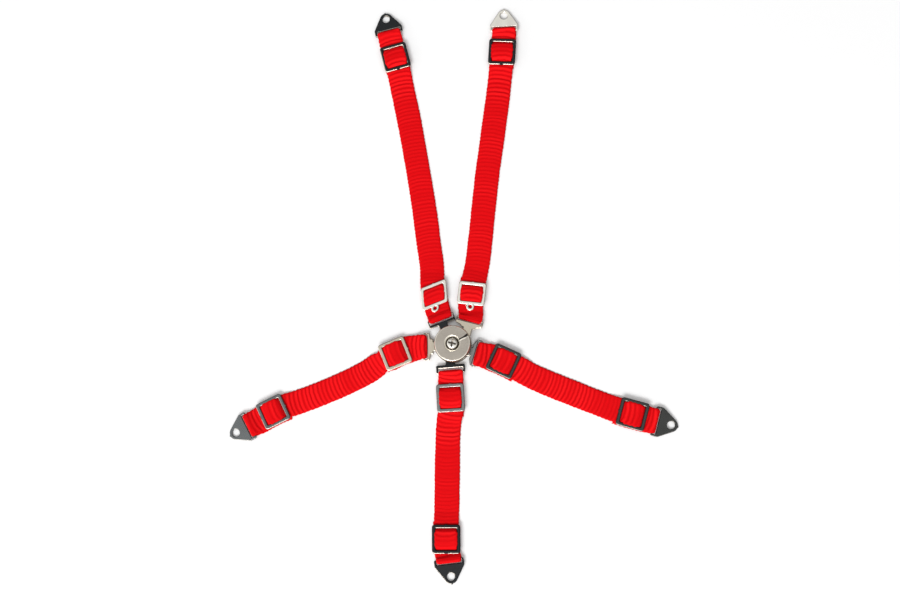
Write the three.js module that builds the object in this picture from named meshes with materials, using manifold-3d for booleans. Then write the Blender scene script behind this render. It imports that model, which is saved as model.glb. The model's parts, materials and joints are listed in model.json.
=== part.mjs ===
// Miniature five-point racing harness, laid out flat.
// Five red webbing straps meet at a round turn-to-release buckle. Each strap is folded round the
// rear bar of a flat tongue at the buckle end and round the bar of an anchor plate at the far end,
// and passes through two flat three-bar sliders.
// Units are millimetres, +Z up. The origin is the centre of the buckle's back face; +Y runs towards
// the two shoulder straps and the back of the buckle and the webbing lie on the plane z = 0.
import * as THREE from 'three';
import { mergeVertices } from 'three/addons/utils/BufferGeometryUtils.js';
import Module from 'manifold-3d';

const wasm = await Module();
wasm.setup();

// ---------------------------------------------------------------- driving dimensions (mm)
const WEB_W = 7.6;            // webbing width
const WEB_T = 0.4;            // webbing thickness
const METAL_T = 0.5;          // thickness of every flat plate
const BEND_GAP = 0.5;         // gap between the two lengths of a strap that bends
const LAY_LOW = 0.2;          // mid-height of a layer that lies on the ground plane
const LAY_HIGH = 0.7;         // mid-height of the upper layer where two layers lie together
const FOLD_R = 0.65;          // mid-line radius of a webbing fold round a bar
const BAR_Z = 0.9;            // height of the bar that a fold goes round
const BAR_W = 0.5;            // width of that bar
const SLOT = 1.0;             // webbing slot next to the anchor bar
const SLOT_L = 7.8;           // slot length
const TONGUE_W = 8.6;         // tongue width, unless an arm gives its own
const TONGUE_AT = 1.75;       // layout point of a tongue to its webbing bar
const BLADE_X = 2.25;         // webbing bar to the root of the blade length
const NECK_W = 2.9;           // tongue blade width
const BLADE_TIP_W = 1.7;      // blade width at its tip
const LATCH_R = 0.4;          // latch hole in the blade
const ANCHOR_W = 9.1;         // anchor plate width
const ANCHOR_HOLE_X = 5.1;    // bar centre to bolt hole
const ANCHOR_HOLE_R = 1.2;    // bolt hole radius
const ANCHOR_TIP_R = 2.1;     // rounded nose about the bolt hole
const ANCHOR_TILT = 0.0835;   // rad, plate slopes from the fold down to the ground
const SLIDER_W = 8.7;         // slider, across the strap
const SLIDER_L = 8.7;         // slider, along the strap
const SLIDER_BAR = 1.1;       // outer bars
const SLIDER_MID = 0.9;       // hidden middle bar
const SLIDER_Z = 1.05;        // underside of a slider frame
const DSLIDER_W = 8.7;        // slider with a pull eye, across the strap
const DSLIDER_L = 7.3;        // slider with a pull eye, along the strap
const EYE_R = 1.3;            // pull eye, outer radius
const EYE_OUT = 0.5;          // pull eye centre, out from the bar's edge
const EYE_HOLE_R = 0.52;      // pull eye, hole radius
const HUMP_GAP = 0.1;         // gap between a slider window and the webbing gathered in it
const HOUSING_R = 5.72;       // buckle housing
const HOUSING_IN_R = 4.85;
const HOUSING_H = 4.0;
const HOUSING_FLOOR = 0.5;
const WINDOW_W = 3.5;         // blade window
const WINDOW_TOP = 1.35;
const POST_R = 1.05;          // centre post
const POST_H = 3.6;
const KNOB_R = 5.75;          // turning top disc
const KNOB_Z = 4.1;
const KNOB_TOP = 5.0;
const DISH_R = 2.5;           // recess for the screw head
const DISH_Z = 4.4;
const SLIT = [[1.3, 1.0], [1.66, 0.72], [2.8, 1.42], [4.1, 1.95], [4.9, 2.3], [6.3, 2.95], [5.6, 4.05], [4.35, 3.1], [3.9, 2.65], [2.86, 1.9]]; // slit from the recess to the rim, flaring outwards
const SCREW_HEAD_R = 1.95;
const SCREW_TOP = 5.3;
const LATCH_Z = 1.65;         // underside of the latch plate
const LATCH_T = 0.6;
const LATCH_PLATE_R = 4.2;

// ---------------------------------------------------------------- finishes
const RED = { color: 0xe0101a, roughness: 0.78, metalness: 0.0 };
const BLACK = { color: 0x24262a, roughness: 0.35, metalness: 0.9 };
const GREY = { color: 0x6f757a, roughness: 0.35, metalness: 0.9 };
const BRIGHT = { color: 0xe6e2d8, roughness: 0.25, metalness: 1.0 };
const SATIN = { color: 0xb3aca0, roughness: 0.4, metalness: 1.0 };
const mat = (m) => new THREE.MeshStandardMaterial(m);

// ---------------------------------------------------------------- strap layout
// tongue: centre of the front crossbar and outward direction (deg); blade: blade length
// inner, outer: slider centre and direction; run: plan points of the strap between the sliders
// slot, cross: webbing slot and crossbar of the tongue; wide, side, step: broad root of its blade,
// where it has one; square: how far (deg) the inner slider frame is out of square, and its direction
// hole: bolt hole of the anchor plate and its direction; bends: the webbing is in two lengths
const ARMS = {
  left_shoulder: {
    bends: true,
    tongue: [-3.46, 6.89, 110.2], blade: 4.2, slot: 1.1, cross: 1.0, tongueMat: BLACK,
    inner: [-6, 15.65, 105.1, 'eye'], lean: -5, square: [16, 95], innerMat: BRIGHT,
    run: [[-6.92, 25.62], [-8.01, 33.36], [-8.99, 41.13], [-10.18, 48.98], [-11.49, 56.87], [-12.88, 64.83], [-14.35, 72.85], [-16.05, 80.93]],
    outer: [-18.84, 93.93, 104.2], outerMat: BLACK,
    hole: [-22.08, 107.13, 102.6], anchorMat: BLACK,
  },
  right_shoulder: {
    bends: true,
    tongue: [4.87, 6.3, 74.9], blade: 4.1, slot: 0.8, cross: 1.5, wide: 4.6, side: 0.9, step: 0.4, tongueMat: BRIGHT,
    inner: [5.82, 15.95, 83, 'eye'], innerMat: BRIGHT,
    run: [[7.52, 25.36], [8.49, 33.01], [9.29, 40.72], [10.14, 48.46], [11.04, 56.26], [12.2, 64.09], [13.26, 71.97], [14.34, 79.89]],
    outer: [15.83, 94.42, 86.1], outerMat: BLACK,
    hole: [16.43, 106.81, 90.7], anchorMat: BRIGHT,
  },
  left_lap: {
    tongue: [-7.37, -0.55, 181.2], blade: 3.7, slot: 0.8, cross: 0.95, wide: 4.8, side: 0.7, step: 0.9, tongueMat: BRIGHT,
    inner: [-18.19, -2.62, 202], lean: 5, innerMat: BRIGHT,
    run: [[-26.18, -7.69], [-31.84, -10.68], [-37.51, -13.2], [-43.2, -15.47], [-48.89, -17.5]],
    outer: [-56.64, -20.48, 206], outerMat: GREY,
    hole: [-68.53, -27.08, 208.4], anchorMat: GREY,
  },
  right_lap: {
    tongue: [6.07, -2.48, -16.7], blade: 2.7, slot: 0.8, cross: 1.2, wide: 5, side: 0.35, step: 0, tongueMat: GREY,
    inner: [15.6, -5.32, -25.1], innerMat: BLACK,
    run: [[23.69, -9.66], [29.18, -12.16], [34.64, -14.41], [40.07, -16.61], [45.48, -18.77]],
    outer: [54.62, -21.83, -15.7], outerMat: BLACK,
    hole: [65.99, -25.17, -15.2], anchorMat: BLACK,
  },
  crotch: {
    tongue: [-0.9, -6.91, -86], blade: 3.1, slot: 1.1, cross: 1.05, broad: 9.0, tongueMat: BLACK,
    inner: [-0.85, -16.52, -87], innerMat: GREY,
    run: [[-1.49, -24.53], [-1.76, -29.43], [-1.92, -39.14], [-2.04, -48.79]],
    outer: [-2.17, -59.26, -89.5], outerMat: BLACK,
    hole: [-0.79, -70.45, -83], anchorMat: BLACK,
  },
};

// ---------------------------------------------------------------- solids
const rad = (d) => (d * Math.PI) / 180;
const dir = (d) => [Math.cos(rad(d)), Math.sin(rad(d))];

function clean(geometry) {
  const g = geometry.clone();
  g.deleteAttribute('normal');
  g.deleteAttribute('uv');
  return mergeVertices(g, 1e-5);
}
function toSolid(geometry) {
  const g = clean(geometry);
  return new wasm.Manifold(new wasm.Mesh({
    numProp: 3,
    vertProperties: new Float32Array(g.attributes.position.array),
    triVerts: new Uint32Array(g.index.array),
  }));
}
function fromSolid(solid) {
  const m = solid.getMesh();
  const g = new THREE.BufferGeometry();
  g.setAttribute('position', new THREE.Float32BufferAttribute(Float32Array.from(m.vertProperties), 3));
  g.setIndex(Array.from(m.triVerts));
  g.computeVertexNormals();
  return g;
}
const group = new THREE.Group();
group.name = 'racing_harness';
function addMesh(parent, name, geometry, material) {
  const mesh = new THREE.Mesh(geometry, mat(material));
  mesh.name = name;
  parent.add(mesh);
  return mesh;
}

// rounded polygon: pts is a list of [x, y, corner radius]
function roundedShape(pts, seg = 4) {
  const out = [];
  const n = pts.length;
  for (let i = 0; i < n; i++) {
    const [px, py, r] = pts[i];
    const a = pts[(i + n - 1) % n];
    const b = pts[(i + 1) % n];
    const p = new THREE.Vector2(px, py);
    const u = new THREE.Vector2(a[0] - px, a[1] - py).normalize();
    const v = new THREE.Vector2(b[0] - px, b[1] - py).normalize();
    if (!r) { out.push(p); continue; }
    const half = Math.acos(THREE.MathUtils.clamp(u.dot(v), -1, 1)) / 2;
    const cut = r / Math.tan(half);
    const c = u.clone().add(v).normalize().multiplyScalar(r / Math.sin(half)).add(p);
    const s0 = u.clone().multiplyScalar(cut).add(p).sub(c);
    const s1 = v.clone().multiplyScalar(cut).add(p).sub(c);
    let a0 = Math.atan2(s0.y, s0.x);
    let da = Math.atan2(s1.y, s1.x) - a0;
    while (da > Math.PI) da -= 2 * Math.PI;
    while (da < -Math.PI) da += 2 * Math.PI;
    for (let k = 0; k <= seg; k++) out.push(new THREE.Vector2(c.x + r * Math.cos(a0 + (da * k) / seg), c.y + r * Math.sin(a0 + (da * k) / seg)));
  }
  return out;
}
function circlePts(x, y, r, n) {
  return Array.from({ length: n }, (_, i) => new THREE.Vector2(x + r * Math.cos((2 * Math.PI * i) / n), y + r * Math.sin((2 * Math.PI * i) / n)));
}
// flat plate of METAL_T, its mid-plane at z = 0
function plate(outline, holes, thickness = METAL_T) {
  const shape = new THREE.Shape(outline);
  holes.forEach((h) => shape.holes.push(new THREE.Path(h)));
  const g = new THREE.ExtrudeGeometry(shape, { depth: thickness, bevelEnabled: false, curveSegments: 8 });
  g.translate(0, 0, -thickness / 2);
  return g;
}
const rect = (x0, x1, y0, y1, r) => [[x0, y0, r], [x1, y0, r], [x1, y1, r], [x0, y1, r]];

// slider: +X runs outward along the strap, mid-plane at z = 0
function sliderGeometry(eye) {
  const w = (eye ? DSLIDER_W : SLIDER_W) / 2;
  const l = (eye ? DSLIDER_L : SLIDER_L) / 2;
  const nub = 0.3;
  let outline;
  if (eye) {
    // the eye stands out of the bar on the buckle side
    const arc = [];
    const cx = -l - EYE_OUT;
    const a0 = Math.acos(EYE_OUT / EYE_R);
    for (let k = 0; k <= 12; k++) {
      const a = a0 + ((2 * Math.PI - 2 * a0) * k) / 12;
      arc.push([cx + EYE_R * Math.cos(a), EYE_R * Math.sin(a), 0]);
    }
    outline = roundedShape([[-l, -w, 0.9], [l, -w, 0.9], [l, -nub, 0], [l + 0.16, -nub * 0.6, 0], [l + 0.16, nub * 0.6, 0], [l, nub, 0], [l, w, 0.9], [-l, w, 0.9], ...arc]);
  } else {
    outline = roundedShape([[-l, -w, 0.9], [l, -w, 0.9], [l, w, 0.9], [-l, w, 0.9], [-l, nub, 0], [-l - 0.16, nub * 0.6, 0], [-l - 0.16, -nub * 0.6, 0], [-l, -nub, 0]]);
  }
  const iw = w - SLIDER_BAR;
  const il = l - SLIDER_BAR;
  const holes = [roundedShape(rect(-il, -SLIDER_MID / 2, -iw, iw, 0.2), 2), roundedShape(rect(SLIDER_MID / 2, il, -iw, iw, 0.2), 2)];
  if (eye) holes.push(circlePts(-l - EYE_OUT, 0, EYE_HOLE_R, 10));
  return plate(outline, holes);
}

// anchor plate: origin on the bar that the webbing folds round, +X towards the nose
function anchorGeometry() {
  const w = ANCHOR_W / 2;
  const back = -BAR_W / 2;
  const sx = BAR_W / 2 + SLOT;
  const h = ANCHOR_HOLE_X;
  const shoulder = 1.9;
  // the straight flanks run from the shoulders to the nose circle, tangent to it
  const dx = h - shoulder;
  const dist = Math.hypot(dx, w);
  const ang = Math.atan2(w, dx) - Math.acos(ANCHOR_TIP_R / dist);
  const t = Math.PI - (Math.atan2(w, dx) + Math.acos(ANCHOR_TIP_R / dist));
  const tipPts = [];
  const n = 10;
  for (let k = 0; k <= n; k++) {
    const a = -t + (2 * t * k) / n;
    const burr = k === n / 2 ? 0.3 : 0;
    tipPts.push([h + (ANCHOR_TIP_R + burr) * Math.cos(a), (ANCHOR_TIP_R + burr) * Math.sin(a), 0]);
  }
  const outline = roundedShape([[back, -w, 0.45], [shoulder, -w, 0.8], ...tipPts, [shoulder, w, 0.8], [back, w, 0.45]], 3);
  const slot = roundedShape(rect(BAR_W / 2, sx, -SLOT_L / 2, SLOT_L / 2, 0.25), 2);
  return plate(outline, [slot, circlePts(h, 0, ANCHOR_HOLE_R, 20)]);
}

// tongue: origin on the rear bar that the webbing folds round, +X away from the buckle
function tongueGeometry({ blade, slot: gap, cross, wide, side, step, broad }) {
  const w = (broad || TONGUE_W) / 2;
  const x1 = BAR_W / 2;
  const sx = -x1 - gap;
  const x0 = sx - cross;
  const nw = NECK_W / 2;
  const tip = -BLADE_X - blade;
  // one flank, from the rear corner to the blade
  const flank = [[x1, w, 0.4]];
  if (wide) {
    flank.push([sx - side, w, 0.35], [x0, wide / 2, 0.25]);
    if (step) flank.push([x0 - step, wide / 2, 0.25]);
    flank.push([x0 - step, nw, 0.1]);
  } else flank.push([x0, w, 0.45], [x0, nw, 0.3]);
  flank.push([tip + 1.3, nw, 0], [tip, BLADE_TIP_W / 2, 0.25]);
  const outline = roundedShape([...flank, ...flank.map(([x, y, r]) => [x, -y, r]).reverse()], 3);
  const slot = roundedShape(rect(sx, -x1, -SLOT_L / 2, SLOT_L / 2, 0.25), 2);
  return plate(outline, [slot, circlePts(tip + 0.95, 0, LATCH_R, 8)]);
}

// ---------------------------------------------------------------- ribbons
// stations: { p: centre, n: unit vector across the ribbon, t: unit tangent }
function ribbonGeometry(stations, width, thickness) {
  const pos = [];
  const idx = [];
  stations.forEach(({ p, n, t }) => {
    const up = new THREE.Vector3().crossVectors(t, n).normalize();
    [[-1, -1], [1, -1], [1, 1], [-1, 1]].forEach(([a, b]) => {
      const v = p.clone().addScaledVector(n, (a * width) / 2).addScaledVector(up, (b * thickness) / 2);
      pos.push(v.x, v.y, v.z);
    });
  });
  const m = stations.length;
  for (let i = 0; i < m - 1; i++) {
    for (let k = 0; k < 4; k++) {
      const a = i * 4 + k;
      const b = i * 4 + ((k + 1) % 4);
      idx.push(a, b, b + 4, a, b + 4, a + 4);
    }
  }
  idx.push(0, 3, 2, 0, 2, 1);
  const e = (m - 1) * 4;
  idx.push(e, e + 1, e + 2, e, e + 2, e + 3);
  const g = new THREE.BufferGeometry();
  g.setAttribute('position', new THREE.Float32BufferAttribute(pos, 3));
  g.setIndex(idx);
  // turn the faces outward if the signed volume is negative
  let vol = 0;
  const a = new THREE.Vector3(); const b = new THREE.Vector3(); const c = new THREE.Vector3();
  for (let i = 0; i < idx.length; i += 3) {
    a.fromArray(pos, idx[i] * 3); b.fromArray(pos, idx[i + 1] * 3); c.fromArray(pos, idx[i + 2] * 3);
    vol += a.dot(b.cross(c));
  }
  if (vol < 0) for (let i = 0; i < idx.length; i += 3) [idx[i], idx[i + 1]] = [idx[i + 1], idx[i]];
  g.setIndex(idx);
  g.computeVertexNormals();
  return g;
}

// plan path of a strap: arc length from the tongue bar to the anchor bar
function planPath(arm) {
  const T = tongueBar(arm);
  const A = anchorBar(arm);
  const td = dir(arm.tongue[2]);
  const ad = dir(arm.hole[2]);
  const id = dir(arm.inner[2] + (arm.lean || 0)); // the strap may run a little askew through its inner slider
  const od = dir(arm.outer[2]);
  const pts = [
    T, [T[0] + td[0] * 0.9, T[1] + td[1] * 0.9],
    [arm.inner[0] - id[0] * 3, arm.inner[1] - id[1] * 3], [arm.inner[0] + id[0] * 3, arm.inner[1] + id[1] * 3],
    ...arm.run,
    [arm.outer[0] - od[0] * 3, arm.outer[1] - od[1] * 3], [arm.outer[0] + od[0] * 2.6, arm.outer[1] + od[1] * 2.6],
    [A[0] - ad[0] * 0.9, A[1] - ad[1] * 0.9], A,
  ].map((q) => new THREE.Vector3(q[0], q[1], 0));
  const curve = new THREE.CatmullRomCurve3(pts, false, 'centripetal');
  const N = 600;
  const P = Array.from({ length: N + 1 }, (_, i) => curve.getPoint(i / N));
  const S = [0];
  for (let i = 1; i <= N; i++) S.push(S[i - 1] + P[i].distanceTo(P[i - 1]));
  const L = S[N];
  const at = (s) => {
    if (s <= 0) return { p: new THREE.Vector3(T[0] + td[0] * s, T[1] + td[1] * s, 0), d: new THREE.Vector3(td[0], td[1], 0) };
    if (s >= L) return { p: new THREE.Vector3(A[0] + ad[0] * (s - L), A[1] + ad[1] * (s - L), 0), d: new THREE.Vector3(ad[0], ad[1], 0) };
    let i = 1;
    while (S[i] < s) i++;
    const f = (s - S[i - 1]) / (S[i] - S[i - 1]);
    const j = Math.min(i + 1, N);
    const k = Math.max(i - 2, 0);
    return { p: P[i - 1].clone().lerp(P[i], f), d: P[j].clone().sub(P[k]).normalize() };
  };
  const nearest = (x, y) => {
    let best = 0;
    for (let i = 1; i <= N; i++) if (P[i].distanceTo(new THREE.Vector3(x, y, 0)) < P[best].distanceTo(new THREE.Vector3(x, y, 0))) best = i;
    return S[best];
  };
  return { at, L, si: nearest(arm.inner[0], arm.inner[1]), so: nearest(arm.outer[0], arm.outer[1]) };
}
// the shoulder straps bend where they would go over the shoulders, half way between their sliders
function bendS({ si, so }) {
  return (si + so) / 2;
}
function tongueBar(arm) {
  const d = dir(arm.tongue[2]);
  return [arm.tongue[0] + d[0] * TONGUE_AT, arm.tongue[1] + d[1] * TONGUE_AT];
}
function anchorBar(arm) {
  const d = dir(arm.hole[2]);
  return [arm.hole[0] - d[0] * ANCHOR_HOLE_X, arm.hole[1] - d[1] * ANCHOR_HOLE_X];
}

// part 0 is the whole strap; a strap that bends is two lengths, 1 at the buckle and 2 at the anchor
function webbing(arm, part) {
  const path = planPath(arm);
  const { L, si, so } = path;
  const hi = (arm.inner[3] ? DSLIDER_L : SLIDER_L) / 2;
  const ho = SLIDER_L / 2;
  const sz = [];
  // tail under the inner slider, back to the tongue fold
  sz.push([si + hi + 0.7, LAY_LOW], [si, LAY_LOW], [1.6, LAY_LOW], [0.35, BAR_Z - FOLD_R]);
  for (let k = 0; k <= 8; k++) {
    const a = -Math.PI / 2 - (Math.PI * k) / 8;
    sz.push([FOLD_R * Math.cos(a), BAR_Z + FOLD_R * Math.sin(a)]);
  }
  const near = arm.inner[3] ? si - hi - EYE_R - 1.0 : si - hi - 0.2;
  const down = Math.max(1.4, Math.min(near, 3.0));
  sz.push([0.35, BAR_Z + FOLD_R - 0.02], [0.8, BAR_Z + FOLD_R - 0.14], [(0.8 + down) / 2, (BAR_Z + FOLD_R - 0.14 + LAY_HIGH) / 2], [down, LAY_HIGH + 0.02]);
  sz.push([si - hi, LAY_HIGH], [si, LAY_HIGH], [si + hi + 0.9, LAY_HIGH], [si + hi + 2.4, (LAY_HIGH + LAY_LOW) / 2], [si + hi + 4.0, LAY_LOW]);
  const a0 = si + hi + 4.0;
  const a1 = so - ho - 4.0;
  const n = Math.max(2, Math.round((a1 - a0) / 7));
  for (let k = 1; k < n; k++) sz.push([a0 + ((a1 - a0) * k) / n, LAY_LOW]);
  sz.push([a1, LAY_LOW], [so - ho - 2.4, (LAY_HIGH + LAY_LOW) / 2], [so - ho - 0.9, LAY_HIGH], [so, LAY_HIGH], [so + ho - 0.1, LAY_HIGH]);
  const rise = Math.max(so + ho + 0.6, L - 2.6);
  sz.push([rise, LAY_HIGH], [(rise + L - 0.6) / 2, (BAR_Z + FOLD_R - 0.1 + LAY_HIGH) / 2], [L - 0.6, BAR_Z + FOLD_R - 0.1], [L - 0.3, BAR_Z + FOLD_R - 0.02]);
  for (let k = 0; k <= 8; k++) {
    const a = Math.PI / 2 - (Math.PI * k) / 8;
    sz.push([L + FOLD_R * Math.cos(a), BAR_Z + FOLD_R * Math.sin(a)]);
  }
  // tail under the outer slider
  sz.push([L - 0.35, BAR_Z - FOLD_R], [L - 1.6, LAY_LOW], [so, LAY_LOW], [so - ho - 0.7, LAY_LOW]);
  if (part) {
    const mid = bendS(path);
    const side = part === 1 ? 1 : -1;
    const cut = mid - side * BEND_GAP / 2;
    const k = sz.findIndex(([s, z], i) => i > 12 && s >= mid && z < 0.3);
    const keep = part === 1 ? [...sz.slice(0, k), [cut, LAY_LOW]] : [[cut, LAY_LOW], ...sz.slice(k)];
    sz.splice(0, sz.length, ...keep);
  }
  const pts = sz.map(([s, z]) => { const q = path.at(s); return { p: new THREE.Vector3(q.p.x, q.p.y, z), d: q.d, s, z }; });
  const stations = pts.map((q, i) => {
    const a = pts[Math.max(0, i - 1)];
    const b = pts[Math.min(pts.length - 1, i + 1)];
    // average of the unit steps on both sides, in the vertical plane of the strap
    const step = (u, v) => { const x = v.s - u.s; const z = v.z - u.z; const l = Math.hypot(x, z) || 1; return [x / l, z / l]; };
    const u = a === q ? step(q, b) : step(a, q);
    const v = b === q ? u : step(q, b);
    let x = u[0] + v[0]; let z = u[1] + v[1];
    const l = Math.hypot(x, z) || 1; x /= l; z /= l;
    const t = q.d.clone().multiplyScalar(x).add(new THREE.Vector3(0, 0, z)).normalize();
    const nrm = new THREE.Vector3(-q.d.y, q.d.x, 0).normalize();
    return { p: q.p, n: nrm, t };
  });
  return ribbonGeometry(stations, WEB_W, WEB_T);
}

// webbing gathered in a slider window, over the middle bar; +X along the strap
function humpGeometry(eye) {
  const half = (eye ? DSLIDER_L : SLIDER_L) / 2 - SLIDER_BAR - HUMP_GAP;
  const width = (eye ? DSLIDER_W : SLIDER_W) - 2 * (SLIDER_BAR + HUMP_GAP);
  const prof = [[-1, 1.19], [-0.8, 1.22], [-0.5, 1.53], [-0.24, 1.87], [0, 1.91], [0.24, 1.87], [0.5, 1.53], [0.8, 1.22], [1, 1.19]];
  const pts = prof.map(([u, z]) => new THREE.Vector3(u * half, 0, z));
  const st = pts.map((p, i) => {
    const a = pts[Math.max(0, i - 1)];
    const b = pts[Math.min(pts.length - 1, i + 1)];
    return { p, n: new THREE.Vector3(0, 1, 0), t: b.clone().sub(a).normalize() };
  });
  return ribbonGeometry(st, width, WEB_T);
}

for (const [name, arm] of Object.entries(ARMS)) {
  const T = tongueBar(arm);
  const A = anchorBar(arm);
  if (arm.bends) {
    addMesh(group, `${name}_webbing`, webbing(arm, 1), RED);
    addMesh(group, `${name}_webbing_far`, webbing(arm, 2), RED);
  } else {
    addMesh(group, `${name}_webbing`, webbing(arm, 0), RED);
  }
  const tongue = addMesh(group, `${name}_tongue`, tongueGeometry(arm), arm.tongueMat);
  tongue.position.set(T[0], T[1], BAR_Z);
  tongue.rotation.z = rad(arm.tongue[2]);
  for (const [end, m] of [['inner', arm.innerMat], ['outer', arm.outerMat]]) {
    const [x, y, deg, eye] = arm[end];
    const holder = new THREE.Group();
    holder.position.set(x, y, 0);
    const plateShape = sliderGeometry(Boolean(eye));
    const ribbon = humpGeometry(Boolean(eye));
    holder.rotation.z = rad(deg);
    if (arm.square && end === 'inner') {
      // the frame and the webbing in it are pushed out of square
      const [skew, to] = arm.square;
      holder.rotation.z = rad(to);
      const c = Math.cos(rad(skew)); const k = Math.sin(rad(skew));
      const m4 = new THREE.Matrix4().set(1, -k, 0, 0, 0, c, 0, 0, 0, 0, 1, 0, 0, 0, 0, 1);
      plateShape.applyMatrix4(m4);
      ribbon.applyMatrix4(m4);
    }
    group.add(holder);
    const frame = addMesh(holder, `${name}_${end}_slider`, plateShape, m);
    frame.position.z = SLIDER_Z + METAL_T / 2;
    addMesh(holder, `${name}_${end}_hump`, ribbon, RED);
  }
  const anchor = addMesh(group, `${name}_anchor`, anchorGeometry(), arm.anchorMat);
  anchor.position.set(A[0], A[1], BAR_Z);
  anchor.rotation.set(0, ANCHOR_TILT, rad(arm.hole[2]), 'ZYX');
}

// ---------------------------------------------------------------- buckle
function lathe(profile, seg = 48) {
  const g = new THREE.LatheGeometry(profile.map(([r, z]) => new THREE.Vector2(r, z)), seg);
  g.rotateX(Math.PI / 2);
  return g;
}
// housing: cup with a centre post, pilot hole for the screw and one window for each blade
let housing = toSolid(lathe([
  [0, 0], [HOUSING_R - 0.2, 0], [HOUSING_R, 0.2], [HOUSING_R, HOUSING_H], [HOUSING_IN_R, HOUSING_H], [HOUSING_IN_R, HOUSING_FLOOR],
  [POST_R, HOUSING_FLOOR], [POST_R, POST_H], [0.62, POST_H], [0.62, 0.8], [0, 0.8],
], 40));
for (const arm of Object.values(ARMS)) {
  const T = tongueBar(arm);
  const d = dir(arm.tongue[2]);
  const cut = new THREE.BoxGeometry(7, WINDOW_W, WINDOW_TOP - HOUSING_FLOOR);
  const m = new THREE.Matrix4().makeRotationZ(rad(arm.tongue[2]));
  m.setPosition(T[0], T[1], (WINDOW_TOP + HOUSING_FLOOR) / 2);
  // the cutter starts outside the wall and ends just inside it
  const along = T[0] * d[0] + T[1] * d[1] - 1.45;
  const off = Math.abs(T[0] * d[1] - T[1] * d[0]);
  const innerEnd = Math.sqrt(Math.max(0.1, (HOUSING_IN_R - 0.5) ** 2 - off ** 2)) - 0.4;
  const len = along + 1.5 - innerEnd;
  cut.scale(len / 7, 1, 1);
  const mid = (along + 1.5 + innerEnd) / 2;
  m.setPosition(T[0] - d[0] * (T[0] * d[0] + T[1] * d[1] - mid), T[1] - d[1] * (T[0] * d[0] + T[1] * d[1] - mid), (WINDOW_TOP + HOUSING_FLOOR) / 2);
  cut.applyMatrix4(m);
  housing = housing.subtract(toSolid(cut));
}
addMesh(group, 'buckle_housing', fromSolid(housing), SATIN);

// knob: disc with chamfered rim, recess for the screw head, running hole and slit
let knob = toSolid(lathe([
  [1.15, KNOB_Z], [KNOB_R - 0.25, KNOB_Z], [KNOB_R, KNOB_Z + 0.2], [KNOB_R, KNOB_TOP - 0.28], [KNOB_R - 0.35, KNOB_TOP],
  [DISH_R, KNOB_TOP], [DISH_R - 0.35, DISH_Z], [1.15, DISH_Z], [1.15, KNOB_Z],
], 56));
const slit = plate(SLIT.map(([x, y]) => new THREE.Vector2(x, y)), [], 1.4);
slit.translate(0, 0, DISH_Z + 0.9);
knob = knob.subtract(toSolid(slit));
addMesh(group, 'buckle_knob', fromSolid(knob), SATIN);

// latch plate: turns with the knob, above the blades, on a short hub round the post
let latch = toSolid(lathe([
  [1.3, LATCH_Z], [LATCH_PLATE_R, LATCH_Z], [LATCH_PLATE_R, LATCH_Z + LATCH_T], [1.9, LATCH_Z + LATCH_T], [1.9, KNOB_Z - 0.12], [1.3, KNOB_Z - 0.12], [1.3, LATCH_Z],
], 32));
for (let k = 0; k < 5; k++) {
  const notch = new THREE.CylinderGeometry(0.8, 0.8, 2, 12);
  notch.rotateX(Math.PI / 2);
  notch.translate(LATCH_PLATE_R * Math.cos(rad(72 * k + 10)), LATCH_PLATE_R * Math.sin(rad(72 * k + 10)), LATCH_Z + LATCH_T / 2);
  latch = latch.subtract(toSolid(notch));
}
addMesh(group, 'buckle_latch_plate', fromSolid(latch), SATIN);

// screw: pan head with a cross recess, shank down into the post
let screw = toSolid(lathe([
  [0, 1.2], [0.42, 1.2], [0.5, 1.3], [0.5, DISH_Z + 0.1], [SCREW_HEAD_R, DISH_Z + 0.1], [SCREW_HEAD_R, 4.82], [1.7, 5.05], [1.15, 5.22], [0.5, SCREW_TOP], [0, SCREW_TOP],
], 28));
for (const a of [0, 90]) {
  const c = new THREE.BoxGeometry(2.1, 0.46, 1.1);
  c.applyMatrix4(new THREE.Matrix4().makeRotationZ(rad(a + 45)).setPosition(0, 0, SCREW_TOP));
  screw = screw.subtract(toSolid(c));
}
addMesh(group, 'buckle_screw', fromSolid(screw), BRIGHT);

export default group;
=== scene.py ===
"""Miniature racing harness laid flat: red ribbed webbing, thin plated sliders, tongues and anchor
plates, and a round turn-to-release buckle. Lengths are in mm until a mesh is made, then metres."""
import json
import math

import bpy
import numpy as np
from mathutils import Matrix, Vector
from mathutils.geometry import tessellate_polygon

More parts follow.
